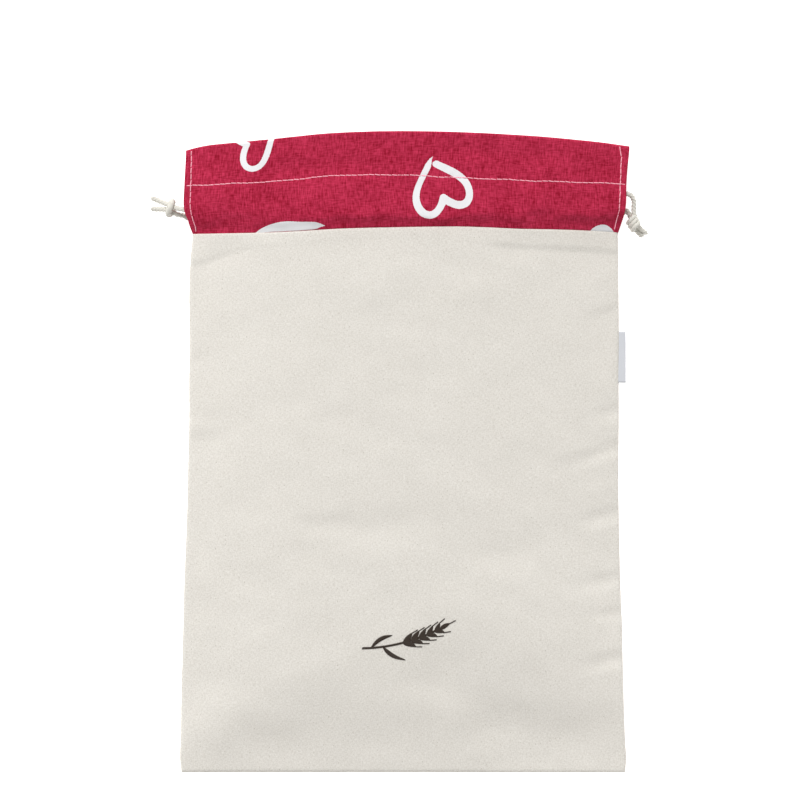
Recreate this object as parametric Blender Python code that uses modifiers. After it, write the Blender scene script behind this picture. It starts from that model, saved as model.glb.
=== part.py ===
"""A linen bread bag lying on its back, its mouth towards +Y and standing softly open.

The front and the back are cream linen, joined along both sides and the bottom. Each carries a crimson band
across its top: one strip doubled over at the mouth, whose lower half is the channel of a drawstring. The two
drawstrings are tied together beyond each side, and a folded ribbon label is caught in the right side seam.

Metres, +Z up. The origin lies under the middle of the bag, on the surface that it rests on.
"""

import math
from collections import namedtuple

import bmesh
import bpy
from mathutils import Vector

MM = 0.001

# Driving dimensions
LENGTH = 431.6 * MM  # bottom edge to the middle of the mouth
LINEN = 1.2 * MM  # thickness of the cream cloth
BAND_CLOTH = 1.0 * MM  # thickness of one layer of the band
GAP = 0.3 * MM  # what is left between two pieces that touch
CORD = 3.6 * MM  # diameter of a drawstring
CORD_ROOM = 0.55 * MM  # between a drawstring and the channel around it
LAYERS = 1.4 * MM  # from the middle of one band layer to the middle of the other, sewn together
FOLD = 1.3 * MM  # radius of the fold along the mouth, at the middle of the cloth
SWELL = 7.0 * MM  # how far to each side of a cord the channel stays open
ARCH_POWER = 2.4  # how square the crown of the front is from side to side
FLAT_SHARE = 0.62  # share of the back's half width that lies flat
BACK_TOP = 418.5 * MM  # bottom edge to the mouth, along the back

CLOSED_AT = 1.45  # where a channel is closed again beside its cord, as a multiple of SWELL
MOUTH_SHARE = 0.22  # share of a band's height, below the mouth, over which its layers part for the fold
FLAT_SIDE = 0.05  # share of the width, along each side edge, that the soft folds leave flat
FLAT_BOTTOM = 12.0 * MM  # the same, up from the bottom edge
LAYER_REST = 0.4 * MM  # extra room where the front rests on the back
CROWDING = 0.07  # how far a grid's lines crowd towards its edges

FRONT_COLUMNS = 30
BACK_COLUMNS = 14
BAND_COLUMNS = 22
BODY_ROWS = 30
CORD_STEP = 2.0  # cord diameters between two points of a drawstring
TAIL_STEP = 0.9  # cord diameters between two points of its tied ends
END_STEP = 1.6 * MM  # first and last step of a drawstring between its knots
FINE_STEP = 0.1 * MM  # between the closely spaced points of a smooth route
USUAL_WIDTH = 296.0  # of a band, and USUAL_HEIGHT likewise, for finding a place on it. Millimetres.
USUAL_HEIGHT = 60.0
SEARCH_STEPS = 12

# The cream body, by height above the bottom edge: its side edges, the height of the side seams above the
# surface and the height of the front's crown. Millimetres.
Body = namedtuple("Body", "along left right seam crown")
BODY = (
    Body(0.0, -151.0, 149.2, 1.5, 18.0),
    Body(4.5, -152.2, 150.2, 1.6, 18.0),
    Body(9.0, -152.3, 150.2, 1.8, 18.0),
    Body(22.0, -151.5, 149.2, 2.3, 18.5),
    Body(49.0, -150.9, 148.2, 3.2, 19.5),
    Body(76.0, -150.2, 147.4, 4.0, 20.5),
    Body(103.0, -149.4, 146.8, 4.6, 21.5),
    Body(130.0, -148.8, 145.6, 5.1, 22.8),
    Body(157.0, -147.5, 145.0, 5.5, 24.0),
    Body(184.0, -146.6, 144.4, 5.9, 25.0),
    Body(211.0, -146.1, 144.2, 6.2, 26.0),
    Body(238.0, -145.3, 144.6, 6.4, 26.8),
    Body(265.0, -145.5, 144.4, 6.6, 27.5),
    Body(292.0, -144.8, 144.7, 6.8, 28.2),
    Body(319.0, -145.4, 144.4, 6.9, 28.8),
    Body(344.0, -144.7, 144.2, 7.0, 29.4),
    Body(356.0, -143.6, 144.0, 7.0, 29.7),
    Body(365.0, -142.6, 143.7, 7.0, 30.0),
)

# The front band, by height above the bottom edge: its hemmed side edges, and the height of its inner layer
# at those edges and at the crown. Millimetres.
Band = namedtuple("Band", "along left right side crown")
FRONT_BAND = (
    Band(364.0, -142.4, 143.7, 7.7, 30.0),
    Band(368.5, -143.6, 145.2, 9.8, 30.1),
    Band(374.0, -146.4, 147.0, 12.4, 30.3),
    Band(379.0, -148.6, 148.4, 13.8, 30.4),
    Band(386.0, -148.7, 149.0, 14.0, 30.6),
    Band(394.0, -148.3, 149.0, 13.4, 30.8),
    Band(399.0, -147.9, 148.8, 12.6, 31.0),
    Band(408.0, -147.7, 149.9, 11.6, 31.2),
    Band(415.0, -147.4, 151.3, 10.9, 31.4),
    Band(421.0, -147.0, 151.5, 10.4, 31.5),
    Band(431.6, -147.0, 151.5, 10.0, 31.5),
)

# The back band: the same edges, and the height of its outer layer above the surface at the sides.
BACK_BAND = (
    Band(364.0, -142.9, 144.0, 4.4, 0.0),
    Band(369.0, -145.2, 144.8, 2.6, 0.0),
    Band(375.0, -146.6, 146.4, 1.3, 0.0),
    Band(384.0, -147.4, 148.0, 1.1, 0.0),
    Band(398.0, -146.6, 148.4, 0.9, 0.0),
    Band(418.5, -145.6, 149.2, 0.7, 0.0),
)

# Height above the bottom edge of lines that run from side to side. Millimetres.
Line = namedtuple("Line", "across along")
SEAM = (
    Line(-152.0, 363.6),
    Line(-98.0, 363.9),
    Line(-70.0, 364.9),
    Line(-44.0, 366.4),
    Line(8.0, 367.5),
    Line(44.0, 367.8),
    Line(74.0, 366.4),
    Line(115.0, 366.0),
    Line(152.0, 364.6),
)
MOUTH = (
    Line(-152.0, 418.4),
    Line(-147.0, 419.4),
    Line(-141.0, 421.1),
    Line(-135.5, 422.5),
    Line(-125.0, 423.4),
    Line(-111.0, 424.4),
    Line(-98.0, 425.6),
    Line(-84.0, 426.7),
    Line(-66.0, 428.6),
    Line(-50.0, 430.0),
    Line(-16.0, 431.2),
    Line(24.0, 431.0),
    Line(57.0, 429.8),
    Line(91.0, 428.0),
    Line(115.0, 426.0),
    Line(134.0, 424.4),
    Line(145.0, 422.9),
    Line(152.0, 422.2),
)
SHOULDER = (  # where the front starts to slope down to the bottom edge
    Line(-152.0, 26.0),
    Line(-90.0, 62.0),
    Line(-36.0, 84.0),
    Line(31.0, 112.0),
    Line(90.0, 118.0),
    Line(152.0, 122.0),
)

# Soft folds of the cream front: a straight run between two points, raised or sunk by lift over its width.
# Millimetres.
Crease = namedtuple("Crease", "x0 along0 x1 along1 width lift")
CREASES = (
    Crease(-146.0, 338.0, -112.0, 354.0, 9.0, -1.6),
    Crease(72.0, 360.0, 146.0, 352.0, 9.0, -1.5),
    Crease(-58.0, 175.0, 80.0, 146.0, 15.0, -1.5),
    Crease(-72.0, 253.0, -34.0, 224.0, 14.0, -1.0),
    Crease(-40.0, 330.0, 60.0, 322.0, 22.0, 0.8),
    Crease(118.0, 302.0, 148.0, 309.0, 8.0, -1.0),
    Crease(120.0, 240.0, 148.0, 236.0, 9.0, -1.1),
    Crease(112.0, 206.0, 148.0, 212.0, 9.0, -1.2),
    Crease(118.0, 168.0, 148.0, 174.0, 8.0, -1.0),
    Crease(116.0, 124.0, 150.0, 130.0, 9.0, -1.1),
    Crease(-148.0, 240.0, -122.0, 232.0, 9.0, -0.9),
    Crease(-128.0, 138.0, -100.0, 118.0, 13.0, -0.9),
    Crease(-22.0, 44.0, 34.0, 42.0, 26.0, 3.0),
    Crease(-106.0, 24.0, -70.0, 20.0, 16.0, -1.6),
    Crease(64.0, 34.0, 128.0, 24.0, 18.0, -2.2),
)

# The drawstrings, each from its left end in the knot to its right one. Inside a channel only the height
# above the seam is given, since the channel's own shape gives the rest. Millimetres.
Run = namedtuple("Run", "across above_seam")
FRONT_RUN = (Run(-147.0, 15.4), Run(-100.0, 16.5), Run(0.0, 18.0), Run(100.0, 21.5), Run(147.0, 25.0))
BACK_RUN = (Run(-145.5, 10.8), Run(-80.0, 12.5), Run(0.0, 13.5), Run(80.0, 13.0), Run(146.5, 13.6))

# Beyond the channels: each end from its cut tip through the knot to where it enters the channel on the left,
# and the other way round on the right. Millimetres from the origin.
KNOT_FACE = 4  # counted from the cut tip, the point where an end enters its knot
FRONT_LEFT = (
    (-171.2, 172.8, 1.9), (-167.4, 171.3, 2.2), (-163.4, 169.6, 4.2), (-159.8, 168.0, 6.9),
    (-155.0, 165.9, 9.7), (-152.2, 165.0, 11.5), (-149.6, 164.5, 12.7),
)
BACK_LEFT = (
    (-171.6, 165.6, 1.9), (-167.6, 165.2, 2.1), (-163.6, 165.0, 3.2), (-159.6, 164.3, 4.6),
    (-154.9, 162.0, 5.3), (-152.0, 161.1, 5.2), (-149.0, 160.6, 4.7),
)
FRONT_RIGHT = (
    (150.2, 175.0, 12.2), (153.0, 173.6, 11.3), (154.6, 170.3, 10.3), (154.6, 165.9, 9.2),
    (154.9, 161.3, 8.5), (155.9, 157.2, 7.6), (157.9, 153.6, 5.8), (160.7, 150.9, 3.4), (163.7, 148.6, 2.0),
)
BACK_RIGHT = (
    (149.6, 163.9, 4.6), (151.2, 162.5, 5.0), (152.4, 160.2, 5.3), (153.4, 157.0, 5.4),
    (154.9, 153.6, 4.3), (157.4, 150.0, 2.6), (160.9, 146.8, 1.9),
)

# The turn of cord that binds each knot: its middle, the way that the strands run through it, in degrees from
# +X, half its width and height at the middle of the cord, its slant, and the cord's radius. Millimetres.
Wrap = namedtuple("Wrap", "x y z heading wide high slant radius")
LEFT_WRAP = Wrap(-157.6, 165.9, 6.9, 180.0, 4.3, 4.8, 1.3, 1.75)
RIGHT_WRAP = Wrap(154.0, 155.9, 6.6, -60.0, 4.2, 4.5, -1.0, 1.75)
WRAP_POINTS = 14
CHANNEL_POINTS = 15

# The label's place along the right side seam, and how far it stands out. Millimetres.
LABEL_FROM = 263.6
LABEL_TO = 298.2
LABEL_OUT = 3.7
LABEL_THICK = 1.4
LABEL_START = 0.4  # from the side edges of the body to the label
LABEL_DROOP = 0.35  # at the middle of its free edge
LABEL_COLUMNS = 6

CREAM = (0.765, 0.735, 0.665)
CRIMSON = (0.445, 0.020, 0.060)
CORD_WHITE = (0.740, 0.700, 0.610)
RIBBON = (0.640, 0.650, 0.690)


def read(table, key, column, at):
    """Value of a table's column at a place along its key column, on a smooth curve through the rows."""
    keys = [getattr(row, key) for row in table]
    values = [getattr(row, column) for row in table]
    if at <= keys[0]:
        return values[0]
    if at >= keys[-1]:
        return values[-1]
    i = max(n for n in range(len(keys) - 1) if keys[n] <= at)
    step = keys[i + 1] - keys[i]

    def slope(n):
        before = max(n - 1, 0)
        after = min(n + 1, len(keys) - 1)
        return (values[after] - values[before]) / (keys[after] - keys[before])

    f = (at - keys[i]) / step
    rise = values[i + 1] - values[i]
    bend = f * (1 - f) * ((1 - f) * (slope(i) * step - rise) - f * (slope(i + 1) * step - rise))
    return values[i] + rise * f + bend


def smooth(f):
    """0 to 1 with soft ends."""
    f = min(max(f, 0.0), 1.0)
    return f * f * (3 - 2 * f)


def crease_lift(across, along):
    """What the soft folds add to the front's height. Millimetres."""
    total = 0.0
    for fold in CREASES:
        start = Vector((fold.x0, fold.along0))
        run = Vector((fold.x1, fold.along1)) - start
        place = Vector((across, along)) - start
        f = min(max(place.dot(run) / run.length_squared, 0.0), 1.0)
        off = (place - run * f).length / fold.width
        total += fold.lift * smooth(1 - off)
    return total


def body_across(share, along):
    """Distance from the middle line, in millimetres, at a share of the width from the left edge."""
    left = read(BODY, "along", "left", along)
    return left + share * (read(BODY, "along", "right", along) - left)


def seam_height(along):
    """Height of the side seam above the surface. Millimetres."""
    return read(BODY, "along", "seam", along)


def arch(share):
    """How much of the crown's height the front has, at a share of the width."""
    return 1 - abs(2 * share - 1) ** ARCH_POWER


def front_point(share, along):
    """Middle of the cream front's cloth."""
    across = body_across(share, along)
    edge = seam_height(along) + (LINEN / 2 + GAP / 2) / MM
    crown = read(BODY, "along", "crown", along)
    fall = smooth(along / read(SHOULDER, "across", "along", across))
    inside = smooth(min(share, 1 - share) / FLAT_SIDE) * smooth(along * MM / FLAT_BOTTOM)
    height = edge + (crown - edge) * arch(share) * fall + crease_lift(across, along) * inside
    height = max(height, back_height(share, along) + (1.5 * LINEN + GAP + LAYER_REST * inside) / MM)
    return Vector((across * MM, along * MM - LENGTH / 2, height * MM))


def back_height(share, along):
    """Height of the underside of the cream back. Millimetres."""
    edge = seam_height(along) - (GAP / 2 + LINEN) / MM
    off = abs(2 * share - 1)
    return edge * max((off - FLAT_SHARE) / (1 - FLAT_SHARE), 0.0) ** 2


def back_point(share, along):
    """Underside of the cream back's cloth."""
    across = body_across(share, along)
    return Vector((across * MM, along * MM - LENGTH / 2, back_height(share, along) * MM))


def spaced(count):
    """count + 1 shares from 0 to 1, closer together towards both ends."""
    return [n / count - CROWDING * math.sin(2 * math.pi * n / count) for n in range(count + 1)]


def rows_to(top):
    """Heights above the bottom edge of a panel's rows, up to its top edge. Millimetres."""
    return [share * top for share in spaced(BODY_ROWS)]


def band_place(table, share, along):
    """(across, side height, crown height) of a band. Millimetres."""
    left = read(table, "along", "left", along)
    across = left + share * (read(table, "along", "right", along) - left)
    return across, read(table, "along", "side", along), read(table, "along", "crown", along)


def channel_swell(run, across, above):
    """How far the channel's inner layer stands off because of the cord in it."""
    off = abs(above - read(run, "across", "above_seam", across)) * MM / SWELL
    opened = CORD + 2 * CORD_ROOM + BAND_CLOTH - LAYERS
    return opened * smooth(CLOSED_AT - off)


def front_band_outer(share, f):
    """Middle of the front band's outer layer, f of the way from the seam to the mouth."""
    edge = body_across(share, BODY[-1].along)
    bottom = read(SEAM, "across", "along", edge) + 1.5 * GAP / MM
    corner = band_place(FRONT_BAND, share, FRONT_BAND[-1].along)[0]
    top = read(MOUTH, "across", "along", corner) - FOLD / MM
    along = bottom + f * (top - bottom)
    across, side, crown = band_place(FRONT_BAND, share, along)
    height = side + (crown - side) * arch(share) + LAYERS / MM
    return Vector((across * MM, along * MM - LENGTH / 2, height * MM)), (along - bottom)


def back_band_outer(share, f):
    """Middle of the back band's outer layer, which lies on the surface."""
    bottom = SEAM[0].along + 1.5 * GAP / MM
    along = bottom + f * ((BACK_TOP - FOLD) / MM - bottom)
    across, side, _ = band_place(BACK_BAND, share, along)
    off = abs(2 * share - 1)
    rise = max((off - FLAT_SHARE) / (1 - FLAT_SHARE), 0.0) ** 2
    height = BAND_CLOTH / 2 + side * MM * rise
    return Vector((across * MM, along * MM - LENGTH / 2, height)), (along - bottom)


def band_point(outer, run, inwards, share, f, layer, turn):
    """A point of a doubled band. layer is "outer" or "inner", or "fold" for the arc along the mouth."""
    place, above = outer(share, f)
    if layer == "outer":
        return place
    if layer == "fold":
        reach = FOLD * math.sin(turn)
        drop = FOLD * (1 - math.cos(turn))
        return place + Vector((0, reach, inwards * drop))
    near_mouth = smooth(1 - (1 - f) / MOUTH_SHARE)
    apart = LAYERS + near_mouth * (2 * FOLD - LAYERS)
    apart += channel_swell(run, place.x / MM, above)
    return place + Vector((0, 0, inwards * apart))


def collection_named(name):
    """A new collection in the scene."""
    made = bpy.data.collections.new(name)
    bpy.context.scene.collection.children.link(made)
    return made


def material(name, colour, roughness):
    """A plain Principled material."""
    made = bpy.data.materials.new(name)
    made.use_nodes = True
    shader = made.node_tree.nodes["Principled BSDF"]
    shader.inputs["Base Color"].default_value = (*colour, 1.0)
    shader.inputs["Roughness"].default_value = roughness
    shader.inputs["Metallic"].default_value = 0.0
    return made


def finish(obj, name, group, look):
    """Names an object, files it in its collection and gives it its material."""
    obj.name = name
    obj.data.name = name
    for holder in list(obj.users_collection):
        holder.objects.unlink(obj)
    group.objects.link(obj)
    obj.data.materials.clear()
    obj.data.materials.append(look)
    return obj


def sheet(name, columns, rows, place, thickness, offset, group, look):
    """A grid whose points place(column, row) puts where the cloth lies, with the cloth's thickness."""
    bpy.ops.mesh.primitive_grid_add(x_subdivisions=columns, y_subdivisions=rows, size=1.0)
    obj = bpy.context.active_object
    for vertex in obj.data.vertices:
        column = round((vertex.co.x + 0.5) * columns)
        row = round((vertex.co.y + 0.5) * rows)
        vertex.co = place(column, row)
    obj.data.shade_smooth()
    solid = obj.modifiers.new("Thickness", "SOLIDIFY")
    solid.thickness = thickness
    solid.offset = offset
    return finish(obj, name, group, look)


def build_front_panel(group, look):
    """The cream front, up to the seam under its band."""
    across = spaced(FRONT_COLUMNS)
    heights = [rows_to(read(SEAM, "across", "along", body_across(share, BODY[-1].along))) for share in across]
    return sheet(
        "front_panel", FRONT_COLUMNS, BODY_ROWS,
        lambda column, row: front_point(across[column], heights[column][row]),
        LINEN, 0.0, group, look,
    )


def build_back_panel(group, look):
    """The cream back, flat on the surface in its middle."""
    across = spaced(BACK_COLUMNS)
    heights = rows_to(SEAM[0].along)
    return sheet(
        "back_panel", BACK_COLUMNS, BODY_ROWS,
        lambda column, row: back_point(across[column], heights[row]),
        LINEN, 1.0, group, look,
    )


def build_band(name, outer, run, inwards, group, look):
    """A band: one strip from the seam up to the mouth, over it, and down again inside."""
    across = spaced(BAND_COLUMNS)
    up = [0.0, 0.1, 0.18, 0.26, 0.34, 0.42, 0.52, 0.76, 1.0]
    arc = [math.radians(angle) for angle in (45, 90, 135)]
    path = [(f, "outer", 0.0) for f in up]
    path += [(1.0, "fold", turn) for turn in arc]
    path += [(f, "inner", 0.0) for f in reversed(up)]

    def place(column, row):
        f, layer, turn = path[row]
        return band_point(outer, run, inwards, across[column], f, layer, turn)

    return sheet(name, BAND_COLUMNS, len(path) - 1, place, BAND_CLOTH, 0.0, group, look)


def smooth_curve(route):
    """Closely spaced points on a smooth curve through a route's points. Metres."""
    route = [Vector(point) for point in route]
    ends = [2 * route[0] - route[1], *route, 2 * route[-1] - route[-2]]
    fine = []
    for a, b, c, d in zip(ends, ends[1:], ends[2:], ends[3:]):
        count = max(round((c - b).length / FINE_STEP), 4)
        for n in range(count):
            f = n / count
            fine.append(0.5 * (2 * b + (c - a) * f + (2 * a - 5 * b + 4 * c - d) * f**2
                               + (3 * b - a - 3 * c + d) * f**3))
    return fine + [route[-1]]


def evenly(fine, spacing):
    """Points at even distances along closely spaced ones, both ends kept."""
    total = sum((b - a).length for a, b in zip(fine, fine[1:]))
    steps = max(round(total / spacing), 2)
    points = [fine[0]]
    travelled = 0.0
    for a, b in zip(fine, fine[1:]):
        travelled += (b - a).length
        if len(points) < steps and travelled >= total * len(points) / steps:
            points.append(b)
    return points + [fine[-1]]


def cord_points(fine):
    """Points of a long cord, with a short first and last step so that its ends lie square to its route."""
    short = round(END_STEP / FINE_STEP)
    return [fine[0], *evenly(fine[short:-short], CORD_STEP * CORD), fine[-1]]


def nearest(fine, place):
    """Index of the closely spaced point nearest to a place."""
    return min(range(len(fine)), key=lambda n: (fine[n] - place).length)


def tube(name, points, radius, cyclic=False):
    """A round cord along the given points as a mesh, its ends filled unless it closes on itself."""
    data = bpy.data.curves.new(name, "CURVE")
    data.dimensions = "3D"
    data.bevel_depth = radius
    data.bevel_resolution = 2
    data.use_fill_caps = not cyclic
    spline = data.splines.new("POLY")
    spline.points.add(len(points) - 1)
    spline.use_cyclic_u = cyclic
    for point, place in zip(spline.points, points):
        point.co = (*place, 1.0)
    curve = bpy.data.objects.new(name, data)
    bpy.context.scene.collection.objects.link(curve)
    bpy.context.view_layer.update()
    mesh = bpy.data.meshes.new_from_object(curve.evaluated_get(bpy.context.evaluated_depsgraph_get()))
    work = bmesh.new()
    work.from_mesh(mesh)
    bmesh.ops.remove_doubles(work, verts=work.verts, dist=0.001 * MM)
    work.to_mesh(mesh)
    work.free()
    obj = bpy.data.objects.new(name, mesh)
    bpy.context.scene.collection.objects.link(obj)
    bpy.data.objects.remove(curve, do_unlink=True)
    return obj


def channel_route(outer, run, inwards):
    """Where a drawstring lies in its channel, from left to right. Metres."""
    deep = BAND_CLOTH / 2 + CORD_ROOM + CORD / 2
    points = []
    for n in range(CHANNEL_POINTS):
        across = run[0].across + n / (CHANNEL_POINTS - 1) * (run[-1].across - run[0].across)
        wanted = read(run, "across", "above_seam", across)
        share, f = across / USUAL_WIDTH + 0.5, wanted / USUAL_HEIGHT
        for _ in range(SEARCH_STEPS):
            place, above = outer(share, f)
            share += (across - place.x / MM) / USUAL_WIDTH
            f += (wanted - above) / USUAL_HEIGHT
        points.append(outer(share, f)[0] + Vector((0, 0, inwards * deep)))
    return points


def in_metres(points):
    """Vectors in metres from a route's points in millimetres."""
    return [Vector(point) * MM for point in points]


def join(pieces, name, cutters):
    """One closed body from overlapping closed meshes."""
    first, *others = pieces
    for other in others:
        union = first.modifiers.new("Join", "BOOLEAN")
        union.operation = "UNION"
        union.object = other
        other.hide_render = True
        other.display_type = "WIRE"
        for holder in list(other.users_collection):
            holder.objects.unlink(other)
        cutters.objects.link(other)
    first.name = name
    return first


def build_drawstrings(group, cutters, look):
    """Both drawstrings, and the knot that ties them together at each side."""
    front = smooth_curve(
        in_metres(FRONT_LEFT) + channel_route(front_band_outer, FRONT_RUN, -1) + in_metres(FRONT_RIGHT)
    )
    back = smooth_curve(
        in_metres(BACK_LEFT) + channel_route(back_band_outer, BACK_RUN, 1) + in_metres(BACK_RIGHT)
    )
    space = round(1.5 * GAP / FINE_STEP)
    left_pieces = []
    right_pieces = []
    for name, fine, left, right in (
        ("drawstring_front", front, FRONT_LEFT[KNOT_FACE], FRONT_RIGHT[-1 - KNOT_FACE]),
        ("drawstring_back", back, BACK_LEFT[KNOT_FACE], BACK_RIGHT[-1 - KNOT_FACE]),
    ):
        start = nearest(fine, Vector(left) * MM)
        end = nearest(fine, Vector(right) * MM)
        cord = tube(name, cord_points(fine[start + space : end - space]), CORD / 2)
        finish(cord, name, group, look)
        left_tail = evenly(fine[: start - space], TAIL_STEP * CORD)
        right_tail = evenly(fine[end + space :], TAIL_STEP * CORD)
        left_pieces.append(tube(name + "_left_end", left_tail, CORD / 2))
        right_pieces.append(tube(name + "_right_end", right_tail, CORD / 2))
    for name, pieces, wrap in (
        ("knot_left", left_pieces, LEFT_WRAP),
        ("knot_right", right_pieces, RIGHT_WRAP),
    ):
        pieces.append(tube(name + "_wrap", wrap_points(wrap), wrap.radius * MM, cyclic=True))
        finish(join(pieces, name, cutters), name, group, look)


def wrap_points(wrap):
    """The ring of cord that binds a knot, square to the strands that it holds. Metres."""
    along = Vector((math.cos(math.radians(wrap.heading)), math.sin(math.radians(wrap.heading)), 0.0))
    side = Vector((-along.y, along.x, 0.0))
    points = []
    for n in range(WRAP_POINTS):
        turn = 2 * math.pi * n / WRAP_POINTS
        offset = side * (wrap.wide * math.cos(turn)) + Vector((0, 0, wrap.high * math.sin(turn)))
        offset += along * (wrap.slant * math.cos(turn))
        points.append((Vector((wrap.x, wrap.y, wrap.z)) + offset) * MM)
    return points


def build_label(group, look):
    """The ribbon label: a strip folded in two, its ends towards the side seam."""
    layer = (LABEL_THICK - GAP / MM) / 2 * MM
    radius = (LABEL_THICK * MM - layer) / 2
    reach = [0.0, 0.5, 1.0]
    arc = [math.radians(angle) for angle in (45, 90, 135)]
    path = [(f, -1.0, 0.0) for f in reach] + [(1.0, 0.0, turn) for turn in arc]
    path += [(f, 1.0, 0.0) for f in reversed(reach)]

    def place(column, row):
        f, side, turn = path[row]
        along = LABEL_FROM + column / LABEL_COLUMNS * (LABEL_TO - LABEL_FROM)
        start = body_across(1.0, along) + LABEL_START
        droop = LABEL_DROOP * f * math.sin(math.pi * column / LABEL_COLUMNS)
        out = f * (LABEL_OUT - radius / MM) + radius / MM * math.sin(turn) * (side == 0.0)
        height = seam_height(along) - droop
        height += radius / MM * (side if side else -math.cos(turn))
        return Vector(((start + out) * MM, along * MM - LENGTH / 2, height * MM))

    return sheet("side_label", LABEL_COLUMNS, len(path) - 1, place, layer, 0.0, group, look)


def clear_scene():
    """Removes what a new Blender file holds."""
    for obj in list(bpy.data.objects):
        bpy.data.objects.remove(obj, do_unlink=True)


def main():
    clear_scene()
    bag = collection_named("linen_bread_bag")
    cutters = collection_named("cutters")
    cream = material("cream_linen", CREAM, 0.85)
    crimson = material("crimson_cloth", CRIMSON, 0.8)
    build_front_panel(bag, cream)
    build_back_panel(bag, cream)
    build_band("front_band", front_band_outer, FRONT_RUN, -1, bag, crimson)
    build_band("back_band", back_band_outer, BACK_RUN, 1, bag, crimson)
    build_drawstrings(bag, cutters, material("cord_cotton", CORD_WHITE, 0.9))
    build_label(bag, material("label_ribbon", RIBBON, 0.5))


main()
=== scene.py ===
"""The looks of a linen bread bag that lies on its back with its mouth softly open.

Cream cloth with a crimson heading, printed with brush-drawn hearts and sewn with pale thread; two twisted
cotton drawstrings, tied together at each side; a ribbon label, and an embroidered ear of wheat. Every cloth
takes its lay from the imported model. Metres, +Z up; values and tables are in millimetres where they say so.
"""

import logging
import math
from collections.abc import Callable
from dataclasses import dataclass, field
from enum import Enum

import bmesh
import bpy
import numpy as np
from mathutils import Matrix, Vector
from mathutils.bvhtree import BVHTree


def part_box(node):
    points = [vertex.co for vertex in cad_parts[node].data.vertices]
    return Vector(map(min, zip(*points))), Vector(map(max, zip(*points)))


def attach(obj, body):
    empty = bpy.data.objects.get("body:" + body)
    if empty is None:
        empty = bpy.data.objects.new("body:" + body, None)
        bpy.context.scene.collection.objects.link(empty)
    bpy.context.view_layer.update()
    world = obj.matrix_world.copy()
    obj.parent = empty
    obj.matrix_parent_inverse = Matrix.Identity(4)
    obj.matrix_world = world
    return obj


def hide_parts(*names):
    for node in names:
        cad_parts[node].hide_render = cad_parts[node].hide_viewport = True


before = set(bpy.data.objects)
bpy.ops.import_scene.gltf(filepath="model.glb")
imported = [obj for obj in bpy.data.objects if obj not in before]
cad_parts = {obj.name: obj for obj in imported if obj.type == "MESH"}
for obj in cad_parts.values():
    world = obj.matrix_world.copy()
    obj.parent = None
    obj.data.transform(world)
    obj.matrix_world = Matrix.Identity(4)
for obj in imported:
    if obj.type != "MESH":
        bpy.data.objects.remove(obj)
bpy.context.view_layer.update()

MM = 0.001
ROOT = "root"
LOG = logging.getLogger("bread_bag")
FULL_TURN = 2 * math.pi
# Millimetres from the ink; stands for any place further off.
NO_INK = 9.0
# Half the width of the heart that sines and cosines draw, before it gets its size.
HALF_HEART = 16.0
# How much stitches differ in where they start, how long they are and how they slant, least and most.
UNEVEN_START = (0.0, 0.06)
UNEVEN_LENGTH = (-0.04, 0.02)
UNEVEN_SLANT = (-0.6, 0.6)

Colour = tuple[float, float, float, float]
Run = tuple[np.ndarray, np.ndarray, np.ndarray]


def tone(*screen: float) -> Colour:
    """A colour as the shaders take it, from its red, green and blue on a screen, 0 to 255."""
    steps = [value / 255 for value in screen]
    return (*(s / 12.92 if s <= 0.04045 else ((s + 0.055) / 1.055) ** 2.4 for s in steps), 1.0)


def soft(share: np.ndarray) -> np.ndarray:
    """0 up to 1 with soft ends, and no further."""
    share = np.clip(share, 0.0, 1.0)
    return share * share * (3 - 2 * share)


def rounded(share: np.ndarray) -> np.ndarray:
    """0 up to 1 on a quarter of a circle, steep at first, and no further."""
    return np.sqrt(1 - (1 - np.clip(share, 0.0, 1.0)) ** 2)


def trough(distance: np.ndarray, width: float) -> np.ndarray:
    """1 at no distance, falling to 0 on both sides over about a width."""
    return np.exp(-((distance / width) ** 2))


def unit(vectors: np.ndarray) -> np.ndarray:
    """The vectors, each brought to a length of 1."""
    return vectors / np.linalg.norm(vectors, axis=-1, keepdims=True)


def paired(first: np.ndarray, second: np.ndarray) -> tuple[np.ndarray, ...]:
    """Two arrays of numbers, brought to one shape."""
    return np.broadcast_arrays(np.asarray(first, float), np.asarray(second, float))


def travelled(path: np.ndarray) -> np.ndarray:
    """How far along a path each of its points lies."""
    return np.concatenate(([0.0], np.cumsum(np.linalg.norm(np.diff(path, axis=0), axis=1))))


def read_along(places: np.ndarray, far: np.ndarray, rows: np.ndarray) -> np.ndarray:
    """Rows that belong to a path's points, which lie far along it, read at other places along it."""
    return np.stack([np.interp(places, far, column) for column in rows.T], axis=-1)


def shares(length: float, step: float, edge: tuple[float, ...]) -> np.ndarray:
    """Where a grid's lines run over a length, close together at both ends.

    Args:
        length: the length that they share out.
        step: from one line to the next, away from the ends.
        edge: distances from each end of the lines nearest to it, growing.

    Returns:
        The lines' places as shares of the length, from 0 to 1.
    """
    first, last = edge[-1], length - edge[-1]
    middle = np.linspace(first, last, max(round((last - first) / step), 1) + 1)[1:-1]
    places = np.concatenate((edge, middle, length - np.array(edge[::-1])))
    return places / length


class Side(Enum):
    """The two sides of the bag; the value is the way its outer face looks, up or down."""

    FRONT = 1
    BACK = -1


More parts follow.
